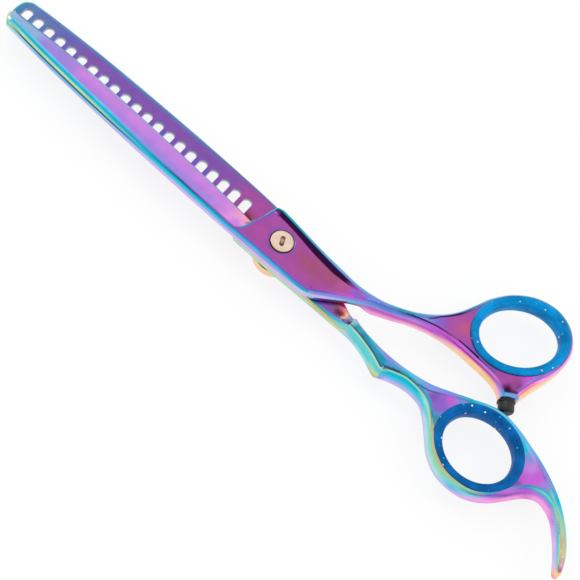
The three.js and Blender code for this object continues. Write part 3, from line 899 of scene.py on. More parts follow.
TOOTH_BEVEL = ((0, 0.12), (-0.08, 0))
ROOT_BEVEL = ((0, 0.3), (-0.3, 0))
TANG_ROUND = ((0, 0.3, 0.6, 1.2), (-1.8, -1.0, -0.4, 0))
TANG_EDGE = ((0, 0.2, 0.5, 0.9, 1.4, 1.7), (-1.6, -1.2, -0.8, -0.35, -0.1, 0))
UPPER_ROUND = ((0, 0.2, 0.4, 0.9, 1.3), (-1.0, -0.6, -0.2, -0.05, 0))
SCOOP_EDGE = ((0, 0.2, 0.4), (-0.4, -0.15, 0))
SPINE = ((0, 0.3, 0.8, 0.95), (-0.8, -0.45, -0.1, 0))
RIDE_EDGE = ((0, 0.4), (-0.5, 0))
SHANK_START = ((0, 0.4, 0.9, 1.3, 1.8), (-2.0, -1.5, -0.6, -0.25, 0))
SHANK_FLANK = ((0, 1.2, 2.1, 2.5, 2.8), (-4.2, -2.4, -0.6, -0.1, 0))
NARROW_FLANK = ((0, 0.9, 1.6, 1.9, 2.15), (-4.2, -2.4, -0.7, -0.2, 0))
RING_FLANK = ((0, 0.5, 1.0, 1.4, 1.6, 1.8), (-4.4, -2.8, -1.2, -0.4, -0.15, 0))
TANG_FLANK = ((0, 0.3, 0.6, 0.9, 1.1, 1.3), (-4.4, -2.8, -1.2, -0.4, -0.15, 0))


def finger_front_height(x, y):
    radius = math.hypot(x, y)
    if x < 0 or radius < FINGER_SHOULDER:
        return FINGER_RIDE
    rise = np.interp(radius, [row[0] for row in SCOOP], [row[1] for row in SCOOP])
    return FINGER_RIDE + float(rise)


def finger_rear_height(x, y):
    if x < TOOTHED_END:
        return TOOTHED_REAR
    return mix(PLATE_REAR, HANDLE_REAR, ease((x - REAR_RISE_START) / REAR_RISE_RUN))


FINGER_FIELD = shade_field([
    (-112, 10, "steel"), (-106, 9.5, "steel"), (-104, 4, "steel"), (-96, 10, "iris"),
    (-85, 10, "purple"), (-90, 4, "iris"), (-72, 10, "purple"), (-72, 3.5, "indigo"), (-60, 9, "purple"),
    (-48, 9, "purple"), (-52, 2.6, "indigo"), (-36, 8.5, "purple"), (-36, 1.6, "indigo"),
    (-26, 8, "purple"), (-22, 0, "purple"), (-18, 7, "magenta"), (-14, 6, "magenta", 2),
    # The dark wine at the blade root is painted shade in the gap between the blades.
    (-12, 4, "magenta", 2), (-13.4, 0.6, "wine", 0.8), (-12.4, 2.6, "dusk", 1.5), (0, 0, "magenta"),
    # Just below the thumb half's edge, the plum and wine are painted shade in the gap between the halves;
    # round the scoop, the film's red, peach and cream are painted brighter as light against the shade under
    # the thumb half.
    (10, 0, "magenta"), (22, -4, "magenta", 1.5), (25, -6.2, "purple", 0.6), (27.5, -4.5, "plum", 0.8),
    (28.4, -6.8, "purple", 0.5), (28.6, -4.5, "wine", 0.4), (29.8, -7.4, "teal", 0.4),
    (30.2, -6.0, "slate", 0.25), (29.4, -2.4, "salmon", 0.5), (30, -3, "peach", 0.5),
    (30.6, -3.9, "cream", 0.6), (28, -1.2, "flame", 0.5), (30, -4.9, "peach", 0.35),
    (31.6, -3.7, "cream", 0.5), (29, -4, "crimson", 0.25), (31.4, -5.0, "blush", 0.3),
    (32.6, -4.6, "lavender", 0.6), (33.6, -5.4, "aqua", 0.6), (35, -6.2, "teal", 0.8),
    (39, -7.2, "teal", 0.8), (43, -8, "blue", 0.8), (43, -8.6, "teal", 0.8), (47, -9.6, "teal", 0.8),
    (50, -9.4, "blue", 1), (54, -8.4, "blue", 1.5), (60, -7.4, "blue", 1.5), (65, -7, "periwinkle", 1.5),
    (67, -8, "purple", 1), (69, -7.4, "violet", 1.2), (72, -5, "orchid", 1.2), (70.5, -10, "violet", 1),
    (72.4, -12.6, "blue", 0.5), (74.6, -3.4, "periwinkle", 0.6), (78, -1.4, "teal", 1),
    (84, 1.2, "teal", 1), (92, 1.6, "blue", 1), (99, -1.6, "cyan", 1), (102, -3.4, "periwinkle", 1),
    (104.4, -5.4, "lilac", 1.2), (107, -7, "orchid", 1.5), (105, -11, "orchid", 1.5),
    (103, -14, "purple", 1), (108.6, -10.4, "orchid", 1), (111, -9, "mauve", 1),
    (113.4, -9.4, "cyan", 0.8), (116, -11.4, "aqua", 0.8), (119, -13.4, "aqua", 0.8),
    (122, -16.2, "mint", 0.8), (125, -20, "khaki", 0.8), (127.2, -23.4, "khaki", 0.8),
    (128.7, -26.2, "rose", 0.8), (101, -18, "sage", 1), (88, -26.4, "olive", 1),
], 4.0)

FINGER_REAR_FIELD = shade_field([
    (-110, 8, "teal"), (-90, 9, "blue"), (-60, 8, "indigo"), (-30, 6, "violet"), (-8, 0, "magenta"),
    (14, -2, "orchid"), (30, -6, "violet"), (46, -9, "blue"), (60, -8, "cyan"), (70, -10, "violet"),
    (88, 2, "teal"), (105, -10, "magenta"), (118, -12, "blue"), (126, -22, "cyan"), (88, -27, "blue"),
], 5.0)


def tooth_edge():
    """The toothed blade's cutting side, tooth by tooth, from the tip to the pivot."""
    start, end = TOOTH_TIPS[0], TOOTH_TIPS[-1]
    tips = [row[:2] for row in curve_samples(TOOTH_TIPS, 2 * SAMPLE)]

    def foot(x):
        return x, float(np.interp(x, [spot[0] for spot in tips], [spot[1] for spot in tips]))

    points = [start]
    last_x = FIRST_SLOT_X + (SLOT_COUNT - 1) * SLOT_PITCH
    for i in range(SLOT_COUNT):
        x = FIRST_SLOT_X + i * SLOT_PITCH
        share = (last_x - x) / (last_x - FIRST_SLOT_X)
        centre = mix(SLOT_END_AT_PIVOT, SLOT_END_AT_TIP, share) - SLOT_RADIUS
        left, right = x - SLOT_RADIUS, x + SLOT_RADIUS
        points.append(foot(left - TIP_MARGIN))
        points.extend(steps(foot(left), (left, centre), SLOT_SIDE_STEPS))
        for k in range(SLOT_ARC_STEPS):
            angle = math.pi * (1 - k / SLOT_ARC_STEPS)
            points.append((x + SLOT_RADIUS * math.cos(angle), centre + SLOT_RADIUS * math.sin(angle)))
        points.extend(steps((right, centre), foot(right), SLOT_SIDE_STEPS))
        points.append(foot(right))
        points.append(foot(right + TIP_MARGIN))
    points.append(end)
    return points


def steps(start, end, count):
    """Points from start up to, but not including, end."""
    return [tuple(mix(np.array(start), np.array(end), i / count)) for i in range(count)]


def finger_outline():
    tang_round = [
        (TANG_END[0] + TANG_END_RADIUS * math.cos(angle), TANG_END[1] + TANG_END_RADIUS * math.sin(angle))
        for angle in TANG_END_ANGLES
    ]
    tang_end = Run(
        tang_round,
        [(0, "peach salmon", "0 peach .3 peach .5 khaki .8 rose", TANG_ROUND)],
        smooth=False)
    ring_rim = "0 ice .3 sky .6 sky 1.0 sky 1.5 sky 2.0 face"
    upper = Run(
        [(130.2, -26.5), (128.5, -22), (125.7, -17.1), (121.6, -12.2), (116.7, -8.1), (110, -3.9),
         (104.3, -1.2), (99.3, 0.6), (94.3, 2.3), (87.5, 3.5), (82.3, 2.7), (76.2, 0.2), (69.8, -2.5),
         (63.5, -4.9), (56.4, -6.1), (48.6, -6.4), (39.8, -5.4), (33, -3.5), (28, -0.8), (22, 1.8), (14, 5.2),
         (6, 8.2), (-2, 10.4), (-9.4, 11.6), (-25, 12.7), (-54, 13.9), (-85, 14.5), (-105.3, 14.1),
         (-112, 13.7)],
        [
            # At the tang, the khaki lines along the ridge are painted highlights.
            (0, "khaki salmon", "0 khaki .2 khaki .35 khaki .5 rose .65 lilac .8 lilac", TANG_EDGE),
            (1, "teal salmon", "0 teal .3 mint .5 khaki .7 khaki .9 khaki 1.1 khaki"),
            (2, "cyan violet", "0 cyan .3 aqua .6 mint .9 mint 1.2 khaki 1.5 khaki"),
            (3, "cyan violet", "0 cyan .3 cyan .6 aqua 1.1 aqua 1.6 mint 2.0 lime"),
            (4, "cyan violet", "0 cyan .3 cyan 1.0 cyan 1.6 cyan 2.2 mint 2.8 face", UPPER_ROUND),
            (5, "violet", "0 violet .3 blue 1.0 periwinkle 1.4 mauve 2.2 violet 2.8 face"),
            (6, "violet", "0 sky .3 sky 1.0 blue 1.7 mauve 2.4 lilac 3.0 face"),
            (7, "cyan violet", "0 cyan .3 sky .8 sky 1.2 sky 1.8 sky 2.4 face"),
            (8, "teal violet", ring_rim),
            (10, "teal violet", ring_rim),
            (11, "hot violet", "0 sky .3 sky .6 cyan 1.0 cyan 1.5 teal 2.0 face"),
            (12, "hot violet", "0 pink .3 sky 1.0 periwinkle 1.4 periwinkle 2.0 violet 2.6 face"),
            # The ink line here is painted shade along a crease.
            (13, "orchid violet", "0 sky .4 periwinkle 1.3 periwinkle 2.5 periwinkle 2.8 ink 3.3 face"),
            (14, "orchid violet", "0 sky .4 sky 1.0 sky 1.7 cyan 2.4 teal 2.9 face"),
            (15, "orchid violet", "0 mauve .4 mauve .8 mauve 1.3 periwinkle 1.8 periwinkle 2.4 face"),
            (16, "orchid violet", "0 orchid .3 sky .6 sky .8 cyan 1.0 cyan 1.2 face"),
            (17, "pink", "0 pink .3 blush .6 blush .8 face 1.0 face 1.2 face"),
            (18.5, "pink violet", "0 salmon .3 face .5 face .7 face .9 face 1.1 face", SCOOP_EDGE),
            (22.5, "grey slate", "0 silver .4 grey .8 grey 1.0 iris 1.3 purple 2.0 face", SPINE),
            (24, "grey slate", "0 silver .4 grey .8 slate 1.1 iris 1.4 iris 2.0 face"),
            (24.6, "teal", "0 teal .4 teal .9 steel 1.2 steel 1.7 iris 2.4 face"),
            (27, "teal", "0 teal .4 teal .9 steel 1.2 steel 1.7 iris 2.4 face"),
            (28, "teal", "0 aqua .4 aqua .9 teal 1.2 steel 1.7 steel 2.4 face"),
        ])
    tip = Run(
        [(-112, 13.7), (-114, 12), (-114.8, 8.7), (-114.3, 5.2), (-112.9, 3.4)],
        [
            (0, "teal", "0 aqua .4 aqua .9 teal 1.2 steel 1.7 steel 2.4 face", SPINE),
            (3, "teal", "0 teal .4 teal .9 teal 1.2 teal 1.7 steel 2.4 face"),
        ])
    # The teeth's walls are grey, painted dark slate towards the front face as shade and pale silver towards
    # the rear as light.
    teeth = Run(
        tooth_edge(),
        [(0, "slate grey silver", "0 iris .12 face .4 face", TOOTH_BEVEL)],
        smooth=False)
    root = Run(
        [(-14.8, -2.4), (-13.0, -6.4), (-11.0, -6.9)],
        [(0, "khaki lime mint", "0 khaki .3 face .6 face", ROOT_BEVEL)])
    ride_edge = "0 khaki .2 khaki .4 {} .7 {} 1.0 {} 1.4 {} 1.8 face"
    # The lime lines along the shank's ridge and the hook are painted highlights, and the dark ink lines
    # beside them are painted shade.
    hook_rails = "0 khaki .6 lime 1.2 aqua 1.7 aqua 2.0 lime 2.2 ink 2.75 teal"
    lower = Run(
        [(-11.0, -6.9), (3, -7.5), (24, -8.0), (34.6, -8.8), (39.6, -10), (43.6, -11.6), (47.2, -13.4)],
        [
            (0, "khaki lime mint", ride_edge.format("grey", "face", "face", "face"), RIDE_EDGE),
            (1.3, "khaki lime mint", ride_edge.format("grey", "face", "face", "face")),
            (1.7, "khaki lime mint", ride_edge.format("olive", "teal", "cyan", "indigo")),
            (2, "khaki khaki mint", ride_edge.format("olive", "teal", "cyan", "iris")),
            (2.4, "lime lime ice", "0 yellow .4 khaki .7 mint 1.0 aqua 1.4 cyan 1.8 periwinkle 2.2 face",
             SHANK_START),
            (3, "ice aqua", "0 lavender .5 aqua .9 aqua 1.35 aqua 1.6 lime 1.8 ink 2.25 teal", NARROW_FLANK),
            (4, "ice aqua", "0 ice .5 aqua .9 aqua 1.35 aqua 1.6 lime 1.8 ink 2.25 teal"),
            (5, "ice aqua", "0 ice .6 aqua 1.1 aqua 1.6 aqua 1.95 lime 2.15 ink 2.6 teal", SHANK_FLANK),
            (6, "khaki ice", hook_rails),
        ])
    hook = Run([(47.2, -13.4), (48.5, -13.8), (50, -13.2)], [(0, "khaki ice", hook_rails, SHANK_FLANK)])
    # Round the finger ring and along the tang, the lime and khaki lines are painted highlights along the
    # ridge, and the dark ink, pine and navy lines beside them are painted shade.
    ring_lower = Run(
        [(50, -13.2), (52, -12.3), (56.8, -11), (61.6, -10.8), (65.4, -11.9), (68.9, -14.9), (72.4, -19),
         (76.6, -23.6), (82.2, -26.9), (88.6, -27.8), (94.4, -26.6), (99.6, -23.2), (103.5, -18.8),
         (107.8, -13.7), (111.4, -11.7), (115.1, -12.4), (118.5, -14.5), (122.1, -18.5), (125.6, -23.4),
         (128.3, -28.1)],
        [
            (0, "lavender", "0 mauve .7 sky 1.4 cyan 1.7 mint 1.95 ink 2.6 ink 2.9 teal 3.2 face",
             SHANK_FLANK),
            (1, "lavender", "0 lavender .8 sky 1.4 cyan 1.8 cyan 2.0 lime 2.2 pine 2.5 pine 3.0 face"),
            (2, "lavender", "0 lavender .8 sky 1.5 cyan 1.9 cyan 2.2 lime 2.4 pine 2.8 navy 3.1 face"),
            (2.6, "lavender", "0 lavender .7 sky 1.4 cyan 1.75 cyan 2.0 lime 2.2 ink 3.0 ink 3.25 face"),
            (3, "lavender", "0 lavender .7 sky 1.3 cyan 1.6 cyan 1.85 lime 2.1 teal 2.4 blue 3.0 face"),
            (4, "lavender", "0 lavender .5 sky .9 aqua 1.3 ice 1.6 mint 1.9 teal 2.3 blue 2.9 face",
             NARROW_FLANK),
            (5, "lavender", "0 lavender .4 ice .9 aqua 1.25 lime 1.45 olive 1.7 teal 2.0 teal 2.4 teal",
             RING_FLANK),
            (6, "lavender", "0 lavender .3 ice .8 mint 1.15 sage 1.35 khaki 1.6 khaki 1.85 olive 2.2 olive"),
            (8, "lavender", "0 lavender .3 ice .8 mint 1.15 sage 1.35 khaki 1.6 khaki 1.85 olive 2.2 olive"),
            (9, "lavender pink", "0 lavender .4 sky .9 aqua 1.25 sage 1.5 sage 1.7 khaki 1.9 teal 2.2 teal"),
            (10, "pink", "0 pink .4 lavender .8 aqua 1.0 teal 1.4 sage 1.6 sage 1.8 teal 2.1 teal"),
            (11, "pink salmon", "0 pink .4 pink .8 lilac 1.0 violet 1.2 indigo 1.5 blue 1.8 cyan 2.2 face"),
            (12, "pink salmon",
             "0 pink .5 pink .9 purple 1.15 purple 1.4 orchid 1.8 orchid 2.4 periwinkle 2.8 face",
             NARROW_FLANK),
            (13, "pink salmon", "0 pink .6 pink 1.1 orchid 1.5 orchid 1.9 mauve 2.3 blue 2.8 teal 3.2 face",
             SHANK_FLANK),
            (14, "pink salmon", "0 pink .6 pink 1.1 lilac 1.4 mauve 1.7 cyan 2.0 mint 2.4 cyan 3.0 face"),
            (15, "pink salmon", "0 pink .5 pink .9 lilac 1.15 mauve 1.4 cyan 1.8 mint 2.1 cyan 2.4 face",
             NARROW_FLANK),
            (16, "lavender pink", "0 pink .4 lilac .8 powder 1.0 aqua 1.3 lime 1.6 sage 1.8 mint 2.1 face",
             RING_FLANK),
            (17, "lavender pink", "0 pink .3 lavender .6 sky .8 aqua 1.0 lime 1.2 khaki 1.3 khaki 1.5 face",
             TANG_FLANK),
            (18.4, "lavender pink",
             "0 lavender .25 lavender .5 aqua .6 aqua .7 lime .8 khaki .9 khaki 1.0 khaki"),
            (19, "peach salmon", "0 salmon .2 peach .35 aqua .45 khaki .55 khaki .65 rose .75 rose .85 rose",
             TANG_ROUND),
        ])
    return Outline([tang_end, upper, tip, teeth, root, lower, hook, ring_lower])


def finger_half():
    outline = finger_outline()
    holes = [circle_points(SCREW_BORE, 48), ring_points(FINGER_RING, SLEEVE_SHARE)]
    height = railed(finger_front_height, FINGER_FIELD)

    def front(x, y, gap, run, place):
        z, colour = height(x, y, gap, run, place)
        if math.hypot(x, y) < WASHER_SEAT_RADIUS + SEAT_MARGIN:
            return WASHER_SEAT_FLOOR, film_and_light("slate")
        return z, colour

    front_lines = outline.rails()
    front_lines += [closed_circle(WASHER_SEAT_RADIUS + shift) for shift in (0, 2 * SEAT_MARGIN)]
    front_lines += [shoulder_arc(outline, radius) for radius, _ in SCOOP]
    rear = rimmed(finger_rear_height, FINGER_REAR_FIELD, FINGER_RIM_DEPTH)
    rear_lines = []
    for x in (TOOTHED_END, TOOTHED_END + 0.1):
        spots = [(x, y) for y in np.arange(*TOOTHED_END_SPAN, SAMPLE)]
        spots = [spot for spot, keep in zip(spots, inside(outline.points, spots)) if keep]
        rear_lines.append(clear_of_rim(outline, spots, REAR_RIM_WIDTH + 0.1))
    rear_lines += outline.inset(REAR_RIM_WIDTH)
    piece = relief("finger_half_steel", outline, holes, front, rear, front_lines, rear_lines)
    place_piece(piece, "finger_half", "finger_half", oxide_steel("finger oxide"))
    return piece


# ---------------------------------------------------------------- ring inserts
# The insert's section: (how far from the lip's outer edge towards the opening, height above the steel).
LIP_SECTION = [
    (0.53, 0.1), (0.02, 0.1), (0.0, 0.2), (0.01, 0.5), (0.05, 0.78), (0.13, 0.94), (0.25, 1.0), (0.4, 0.99),
    (0.52, 0.9), (0.57, 0.72), (0.6, 0.6), (0.63, 0.62), (0.7, 0.66), (0.8, 0.5), (0.9, 0.05), (0.97, -0.7),
    (0.99, -1.6), (1.0, -2.9),
]
REAR_FLARE = 0.84  # the rear of the opening is this share as far from the lip's outer edge as the front
RING_STEPS = 168


def insert(name, ring, node, tint):
    """A ring liner: its section carried round the ring's ellipse, the rear half mirroring the front."""
    middle = (INSERT_FRONT + INSERT_REAR) / 2
    front = [(share, HANDLE_FRONT + rise) for share, rise in LIP_SECTION]
    rear = [(share * REAR_FLARE, 2 * middle - height) for share, height in reversed(front)]
    section = front + rear
    verts, faces = [], []
    for share, height in section:
        verts.extend((x, y, height) for x, y in ring_points(ring, share, RING_STEPS))
    for row in range(len(section)):
        below = (row + 1) % len(section)
        for i in range(RING_STEPS):
            j = (i + 1) % RING_STEPS
            corners = [(row, i), (row, j), (below, j), (below, i)]
            faces.append(tuple(ring_row * RING_STEPS + spot for ring_row, spot in corners))
    piece = make_object(name, verts, faces, None, sharp_degrees=40)
    place_piece(piece, node.replace("insert", "half"), node, glitter_plastic(name + " plastic", tint))
    return piece


# ---------------------------------------------------------------- turned pieces
def lathe(name, profile, segments, place, sharp_degrees=35):
    """A closed solid turned from (radius, height) rows that start and end on the axis."""
    verts, faces = [], []
    rings = []
    for radius, height in profile:
        if radius == 0:
            rings.append([len(verts)])
            verts.append((0, 0, height))
            continue
        rings.append(list(range(len(verts), len(verts) + segments)))
        for i in range(segments):
            angle = 2 * math.pi * i / segments
            verts.append((radius * math.cos(angle), radius * math.sin(angle), height))
    for lower, upper in zip(rings, rings[1:]):
        for i in range(segments):
            j = (i + 1) % segments
            below = [lower[i % len(lower)], lower[j % len(lower)]]
            above = [upper[j % len(upper)], upper[i % len(upper)]]
            faces.append(tuple(dict.fromkeys(below + above)))
    placed = [tuple(place @ Vector(spot)) for spot in verts]
    return make_object(name, placed, faces, None, sharp_degrees)


# Sections of the turned pieces: rows of (radius, height).
BUMPER_PROFILE = [
    (0, 0.3), (2.6, 0.3), (2.78, 0.38), (2.82, 0.55), (2.78, 0.72), (2.6, 0.8), (2.62, 0.86), (2.92, 0.92),
    (3.0, 1.02), (3.0, 1.14), (2.9, 1.26), (2.7, 1.32), (2.62, 1.42), (2.65, 2.4), (2.65, 3.5), (2.58, 3.9),
    (2.38, 4.3), (2.0, 4.55), (1.4, 4.65), (0, 4.65),
]
NUT_PROFILE = [
    (0, 0.25), (2.1, 0.25), (2.3, 0.05), (2.45, 0), (NUT_RADIUS - 0.8, 0), (NUT_RADIUS - 0.45, 0.06),
    (NUT_RADIUS - 0.2, 0.22), (NUT_RADIUS - 0.05, 0.5), (NUT_RADIUS, 0.9), (NUT_RADIUS, 2.3),
    (NUT_RADIUS - 0.06, 2.6), (NUT_RADIUS - 0.25, 2.82), (NUT_RADIUS - 0.5, NUT_TOP), (2.6, NUT_TOP),
    (0, NUT_TOP),
]


def bumper():
    lying = Matrix.Rotation(BUMPER_TURN, 4, "Z") @ Matrix.Rotation(math.pi / 2, 4, "Y")
    piece = lathe("bumper_rubber", BUMPER_PROFILE, 72, Matrix.Translation(BUMPER_ROOT) @ lying)
    place_piece(piece, "thumb_half", "bumper", rubber())
    return piece


def tension_nut():
    piece = lathe("tension_nut_turned", NUT_PROFILE, 120, Matrix.Identity(4))
    gold = turned_metal("nut gold", NUT_GOLD, 0.2)
    place_piece(piece, "tension_nut", "tension_nut", gold)
    return piece


# ---------------------------------------------------------------- pivot screw
DRIVE_WIDTH = 1.3
DRIVE_LENGTH = 3.4
DRIVE_DEPTH = 0.8
DRIVE_TURN = math.radians(22)
DRIVE_SHADE = 0.8  # length over which the painted shade on the driver slot's floor turns from navy to tan
DRIVE_EDGE = 0.03  # how far inside the slot's edge its floor starts
DRIVE_SHADE_BAND = 0.12  # width of the brown band of painted shade round the slot
DRIVE_LOOPS = (0.06, 0.0, -0.1, -0.16)  # shrinks of the loops that the mesh follows there
DRIVE_ARC_STEPS = 12
HEAD_REAR = 10.4
HEAD_BEVEL = ((0, 0.12, 0.3), (-0.3, -0.09, 0))
HEAD_CROWN = 0.04  # how far the head's face falls from its middle to its rim
HEAD_SIDES = 96
SHAFT_RADIUS = 2.5
SHAFT_END = SCREW_LOW[2]


def drive_outline(shrink):
    """The driver slot's round-ended outline, shrunk by a margin."""
    radius = DRIVE_WIDTH / 2 - shrink
    reach = DRIVE_LENGTH / 2 - DRIVE_WIDTH / 2
    spots = []
    for end in (1, -1):
        for k in range(DRIVE_ARC_STEPS + 1):
            angle = math.pi * k / DRIVE_ARC_STEPS + (0 if end > 0 else math.pi)
            across, along = radius * math.cos(angle), end * reach + radius * math.sin(angle)
            spots.append(turned(across, along, DRIVE_TURN))
    return spots


def pivot_screw():
    angles = np.linspace(0, 2 * math.pi, HEAD_SIDES + 1)
    rim = [(SCREW_HEAD_RADIUS * math.cos(angle), SCREW_HEAD_RADIUS * math.sin(angle)) for angle in angles]
    edge = Run(rim, [(0, "khaki", "0 gold .12 gold .3 khaki .5 rose_gold", HEAD_BEVEL)], smooth=False)
    outline = Outline([edge])
    slot_edge = drive_outline(DRIVE_EDGE)
    slot_shade_band = drive_outline(-DRIVE_SHADE_BAND)

    def crown(x, y):
        return SCREW_FRONT - HEAD_CROWN * (math.hypot(x, y) / SCREW_HEAD_RADIUS) ** 2

    height = railed(crown, lambda x, y: film_and_light("rose_gold"))

    def front(x, y, gap, run, place):
        z, colour = height(x, y, gap, run, place)
        # The slot's floor is painted navy as shade at one end, fading to tan, and a brown band of painted
        # shade runs round the slot.
        if inside(slot_edge, [(x, y)])[0]:
            _, along = turned(x, y, -DRIVE_TURN)
            return SCREW_FRONT - DRIVE_DEPTH, mix(film_and_light("navy"), film_and_light("tan"), ease(along / DRIVE_SHADE + 1))
        if inside(slot_shade_band, [(x, y)])[0]:
            return z, film_and_light("brown")
        return z, colour

    def rear(x, y, gap, run, place):
        level = SHAFT_END if math.hypot(x, y) < SHAFT_RADIUS + 0.01 else HEAD_REAR
        return level, film_and_light("rose_gold")

    front_lines = outline.rails()
    for shrink in DRIVE_LOOPS:
        loop = drive_outline(shrink)
        front_lines.append(loop + loop[:1])
    rear_lines = [closed_circle(radius, 60) for radius in (SHAFT_RADIUS, SHAFT_RADIUS + 0.08)]
    piece = relief("pivot_screw_turned", outline, [], front, rear, front_lines, rear_lines, 30)
    rose_gold = turned_metal("screw rose gold", None, 0.22)
    place_piece(piece, "pivot_screw", "pivot_screw", rose_gold)
    return piece


# ---------------------------------------------------------------- materials
def new_material(name):
    material = bpy.data.materials.new(name)
    material.use_nodes = True
    tree = material.node_tree
    shader = tree.nodes["Principled BSDF"]
    return material, tree, shader


def add(tree, kind, inputs=None, **settings):
    node = tree.nodes.new(kind)
    for key, value in settings.items():
        setattr(node, key, value)
    for key, value in (inputs or {}).items():
        node.inputs[key].default_value = value
    return node


def noise(tree, scale, detail=2.0, stretch=None):
    """Noise over the object, finer with a larger scale; stretch pulls it along an axis."""
    place = add(tree, "ShaderNodeTexCoord")
    source = place.outputs["Object"]
    if stretch:
        mapping = add(tree, "ShaderNodeMapping", {"Scale": stretch})
        tree.links.new(source, mapping.inputs["Vector"])
        source = mapping.outputs["Vector"]
    texture = add(tree, "ShaderNodeTexNoise", {"Scale": scale, "Detail": detail})
    tree.links.new(source, texture.inputs["Vector"])
    return texture.outputs["Fac"]


def remap(tree, value, low, high, to_low, to_high):
    limits = {"From Min": low, "From Max": high, "To Min": to_low, "To Max": to_high}
    node = add(tree, "ShaderNodeMapRange", limits)
    tree.links.new(value, node.inputs["Value"])
    return node.outputs["Result"]


def bump(tree, shader, height, strength, distance):
    node = add(tree, "ShaderNodeBump", {"Strength": strength, "Distance": distance})
    tree.links.new(height, node.inputs["Height"])
    tree.links.new(node.outputs["Normal"], shader.inputs["Normal"])


def opaque(rgb):
    return (*linear(rgb), 1.0)


def oxide_steel(name):
    """Polished steel under an oxide film, whose colour, with painted highlights and painted shade, is on the
    mesh; clouds drift its hue a little.
    """
    material, tree, shader = new_material(name)
    shader.inputs["Metallic"].default_value = 1.0
    shader.inputs["IOR"].default_value = 2.5
    tint = add(tree, "ShaderNodeVertexColor", layer_name="film_and_light")
    drift = add(tree, "ShaderNodeHueSaturation")
    tree.links.new(tint.outputs["Color"], drift.inputs["Color"])
    tree.links.new(remap(tree, noise(tree, 90, 3), 0.3, 0.7, 0.488, 0.512), drift.inputs["Hue"])
    tree.links.new(remap(tree, noise(tree, 260, 2), 0.3, 0.7, 0.95, 1.05), drift.inputs["Value"])
    tree.links.new(drift.outputs["Color"], shader.inputs["Base Color"])
    brushed = noise(tree, 900, 2, (0.12, 1.0, 1.0))
    tree.links.new(remap(tree, brushed, 0.3, 0.7, 0.2, 0.3), shader.inputs["Roughness"])
    bump(tree, shader, noise(tree, 1500, 3, (0.1, 1.0, 1.0)), 0.04, 0.0001)
    return material


def glitter_plastic(name, rgb):
    """Glossy blue with flecks of foil scattered through it."""
    material, tree, shader = new_material(name)
    place = add(tree, "ShaderNodeTexCoord")
    cells = add(tree, "ShaderNodeTexVoronoi", {"Scale": 900.0, "Randomness": 1.0})
    tree.links.new(place.outputs["Object"], cells.inputs["Vector"])
    split = add(tree, "ShaderNodeSeparateColor")
    tree.links.new(cells.outputs["Color"], split.inputs["Color"])
    chosen = remap(tree, split.outputs["Red"], 0.92, 0.925, 0.0, 1.0)
    near = remap(tree, cells.outputs["Distance"], 0.34, 0.26, 0.0, 1.0)
    fleck = add(tree, "ShaderNodeMath", operation="MULTIPLY")
    tree.links.new(chosen, fleck.inputs[0])
    tree.links.new(near, fleck.inputs[1])
    hues = add(tree, "ShaderNodeValToRGB")
    ramp = hues.color_ramp
    ramp.interpolation = "CONSTANT"
    ramp.elements[0].color = opaque((20, 170, 225))
    ramp.elements[1].position = 0.45
    ramp.elements[1].color = opaque((225, 235, 255))
    last = ramp.elements.new(0.8)
    last.color = opaque((235, 170, 200))
    tree.links.new(split.outputs["Green"], hues.inputs["Fac"])
    depth = add(tree, "ShaderNodeMix", data_type="RGBA")
    depth.inputs["A"].default_value = opaque(rgb)
    depth.inputs["B"].default_value = opaque([value * 0.78 for value in rgb])
    tree.links.new(remap(tree, noise(tree, 170, 4), 0.35, 0.65, 0.0, 1.0), depth.inputs["Factor"])
    paint = add(tree, "ShaderNodeMix", data_type="RGBA")
    tree.links.new(fleck.outputs[0], paint.inputs["Factor"])
    tree.links.new(depth.outputs["Result"], paint.inputs["A"])
    tree.links.new(hues.outputs["Color"], paint.inputs["B"])
    tree.links.new(paint.outputs["Result"], shader.inputs["Base Color"])
    shader.inputs["Roughness"].default_value = 0.34
    shader.inputs["IOR"].default_value = 1.16
    bump(tree, shader, noise(tree, 420, 3), 0.06, 0.0002)
    return material


def rubber():
    material, tree, shader = new_material("black rubber")
    tone = add(tree, "ShaderNodeMix", data_type="RGBA")
    tone.inputs["A"].default_value = opaque((14, 13, 15))
    tone.inputs["B"].default_value = opaque((34, 32, 34))
    tree.links.new(remap(tree, noise(tree, 700, 4), 0.4, 0.7, 0.0, 1.0), tone.inputs["Factor"])
    tree.links.new(tone.outputs["Result"], shader.inputs["Base Color"])
    tree.links.new(remap(tree, noise(tree, 1200, 3), 0.3, 0.7, 0.32, 0.5), shader.inputs["Roughness"])
    bump(tree, shader, noise(tree, 2400, 4), 0.25, 0.0001)
    return material


def turned_metal(name, rgb, roughness):
    """Metal with a lathe's fine rings round an axis along Z; without rgb the mesh has the colours."""
    material, tree, shader = new_material(name)
    shader.inputs["Metallic"].default_value = 1.0
    place = add(tree, "ShaderNodeTexCoord")
    rings = add(tree, "ShaderNodeTexWave", {"Scale": 900.0, "Distortion": 0.6, "Detail": 2.0},
                wave_type="RINGS", rings_direction="Z")
    tree.links.new(place.outputs["Object"], rings.inputs["Vector"])
    tone = add(tree, "ShaderNodeHueSaturation")
    if rgb:
        tone.inputs["Color"].default_value = opaque(rgb)
    else:
        tint = add(tree, "ShaderNodeVertexColor", layer_name="film_and_light")
        tree.links.new(tint.outputs["Color"], tone.inputs["Color"])
    tree.links.new(remap(tree, noise(tree, 600, 4), 0.35, 0.7, 1.0, 0.88), tone.inputs["Value"])
    tree.links.new(tone.outputs["Color"], shader.inputs["Base Color"])
    ringed = remap(tree, rings.outputs["Fac"], 0.0, 1.0, roughness, roughness + 0.12)
    tree.links.new(ringed, shader.inputs["Roughness"])
    bump(tree, shader, rings.outputs["Fac"], 0.08, 0.0001)
    return material


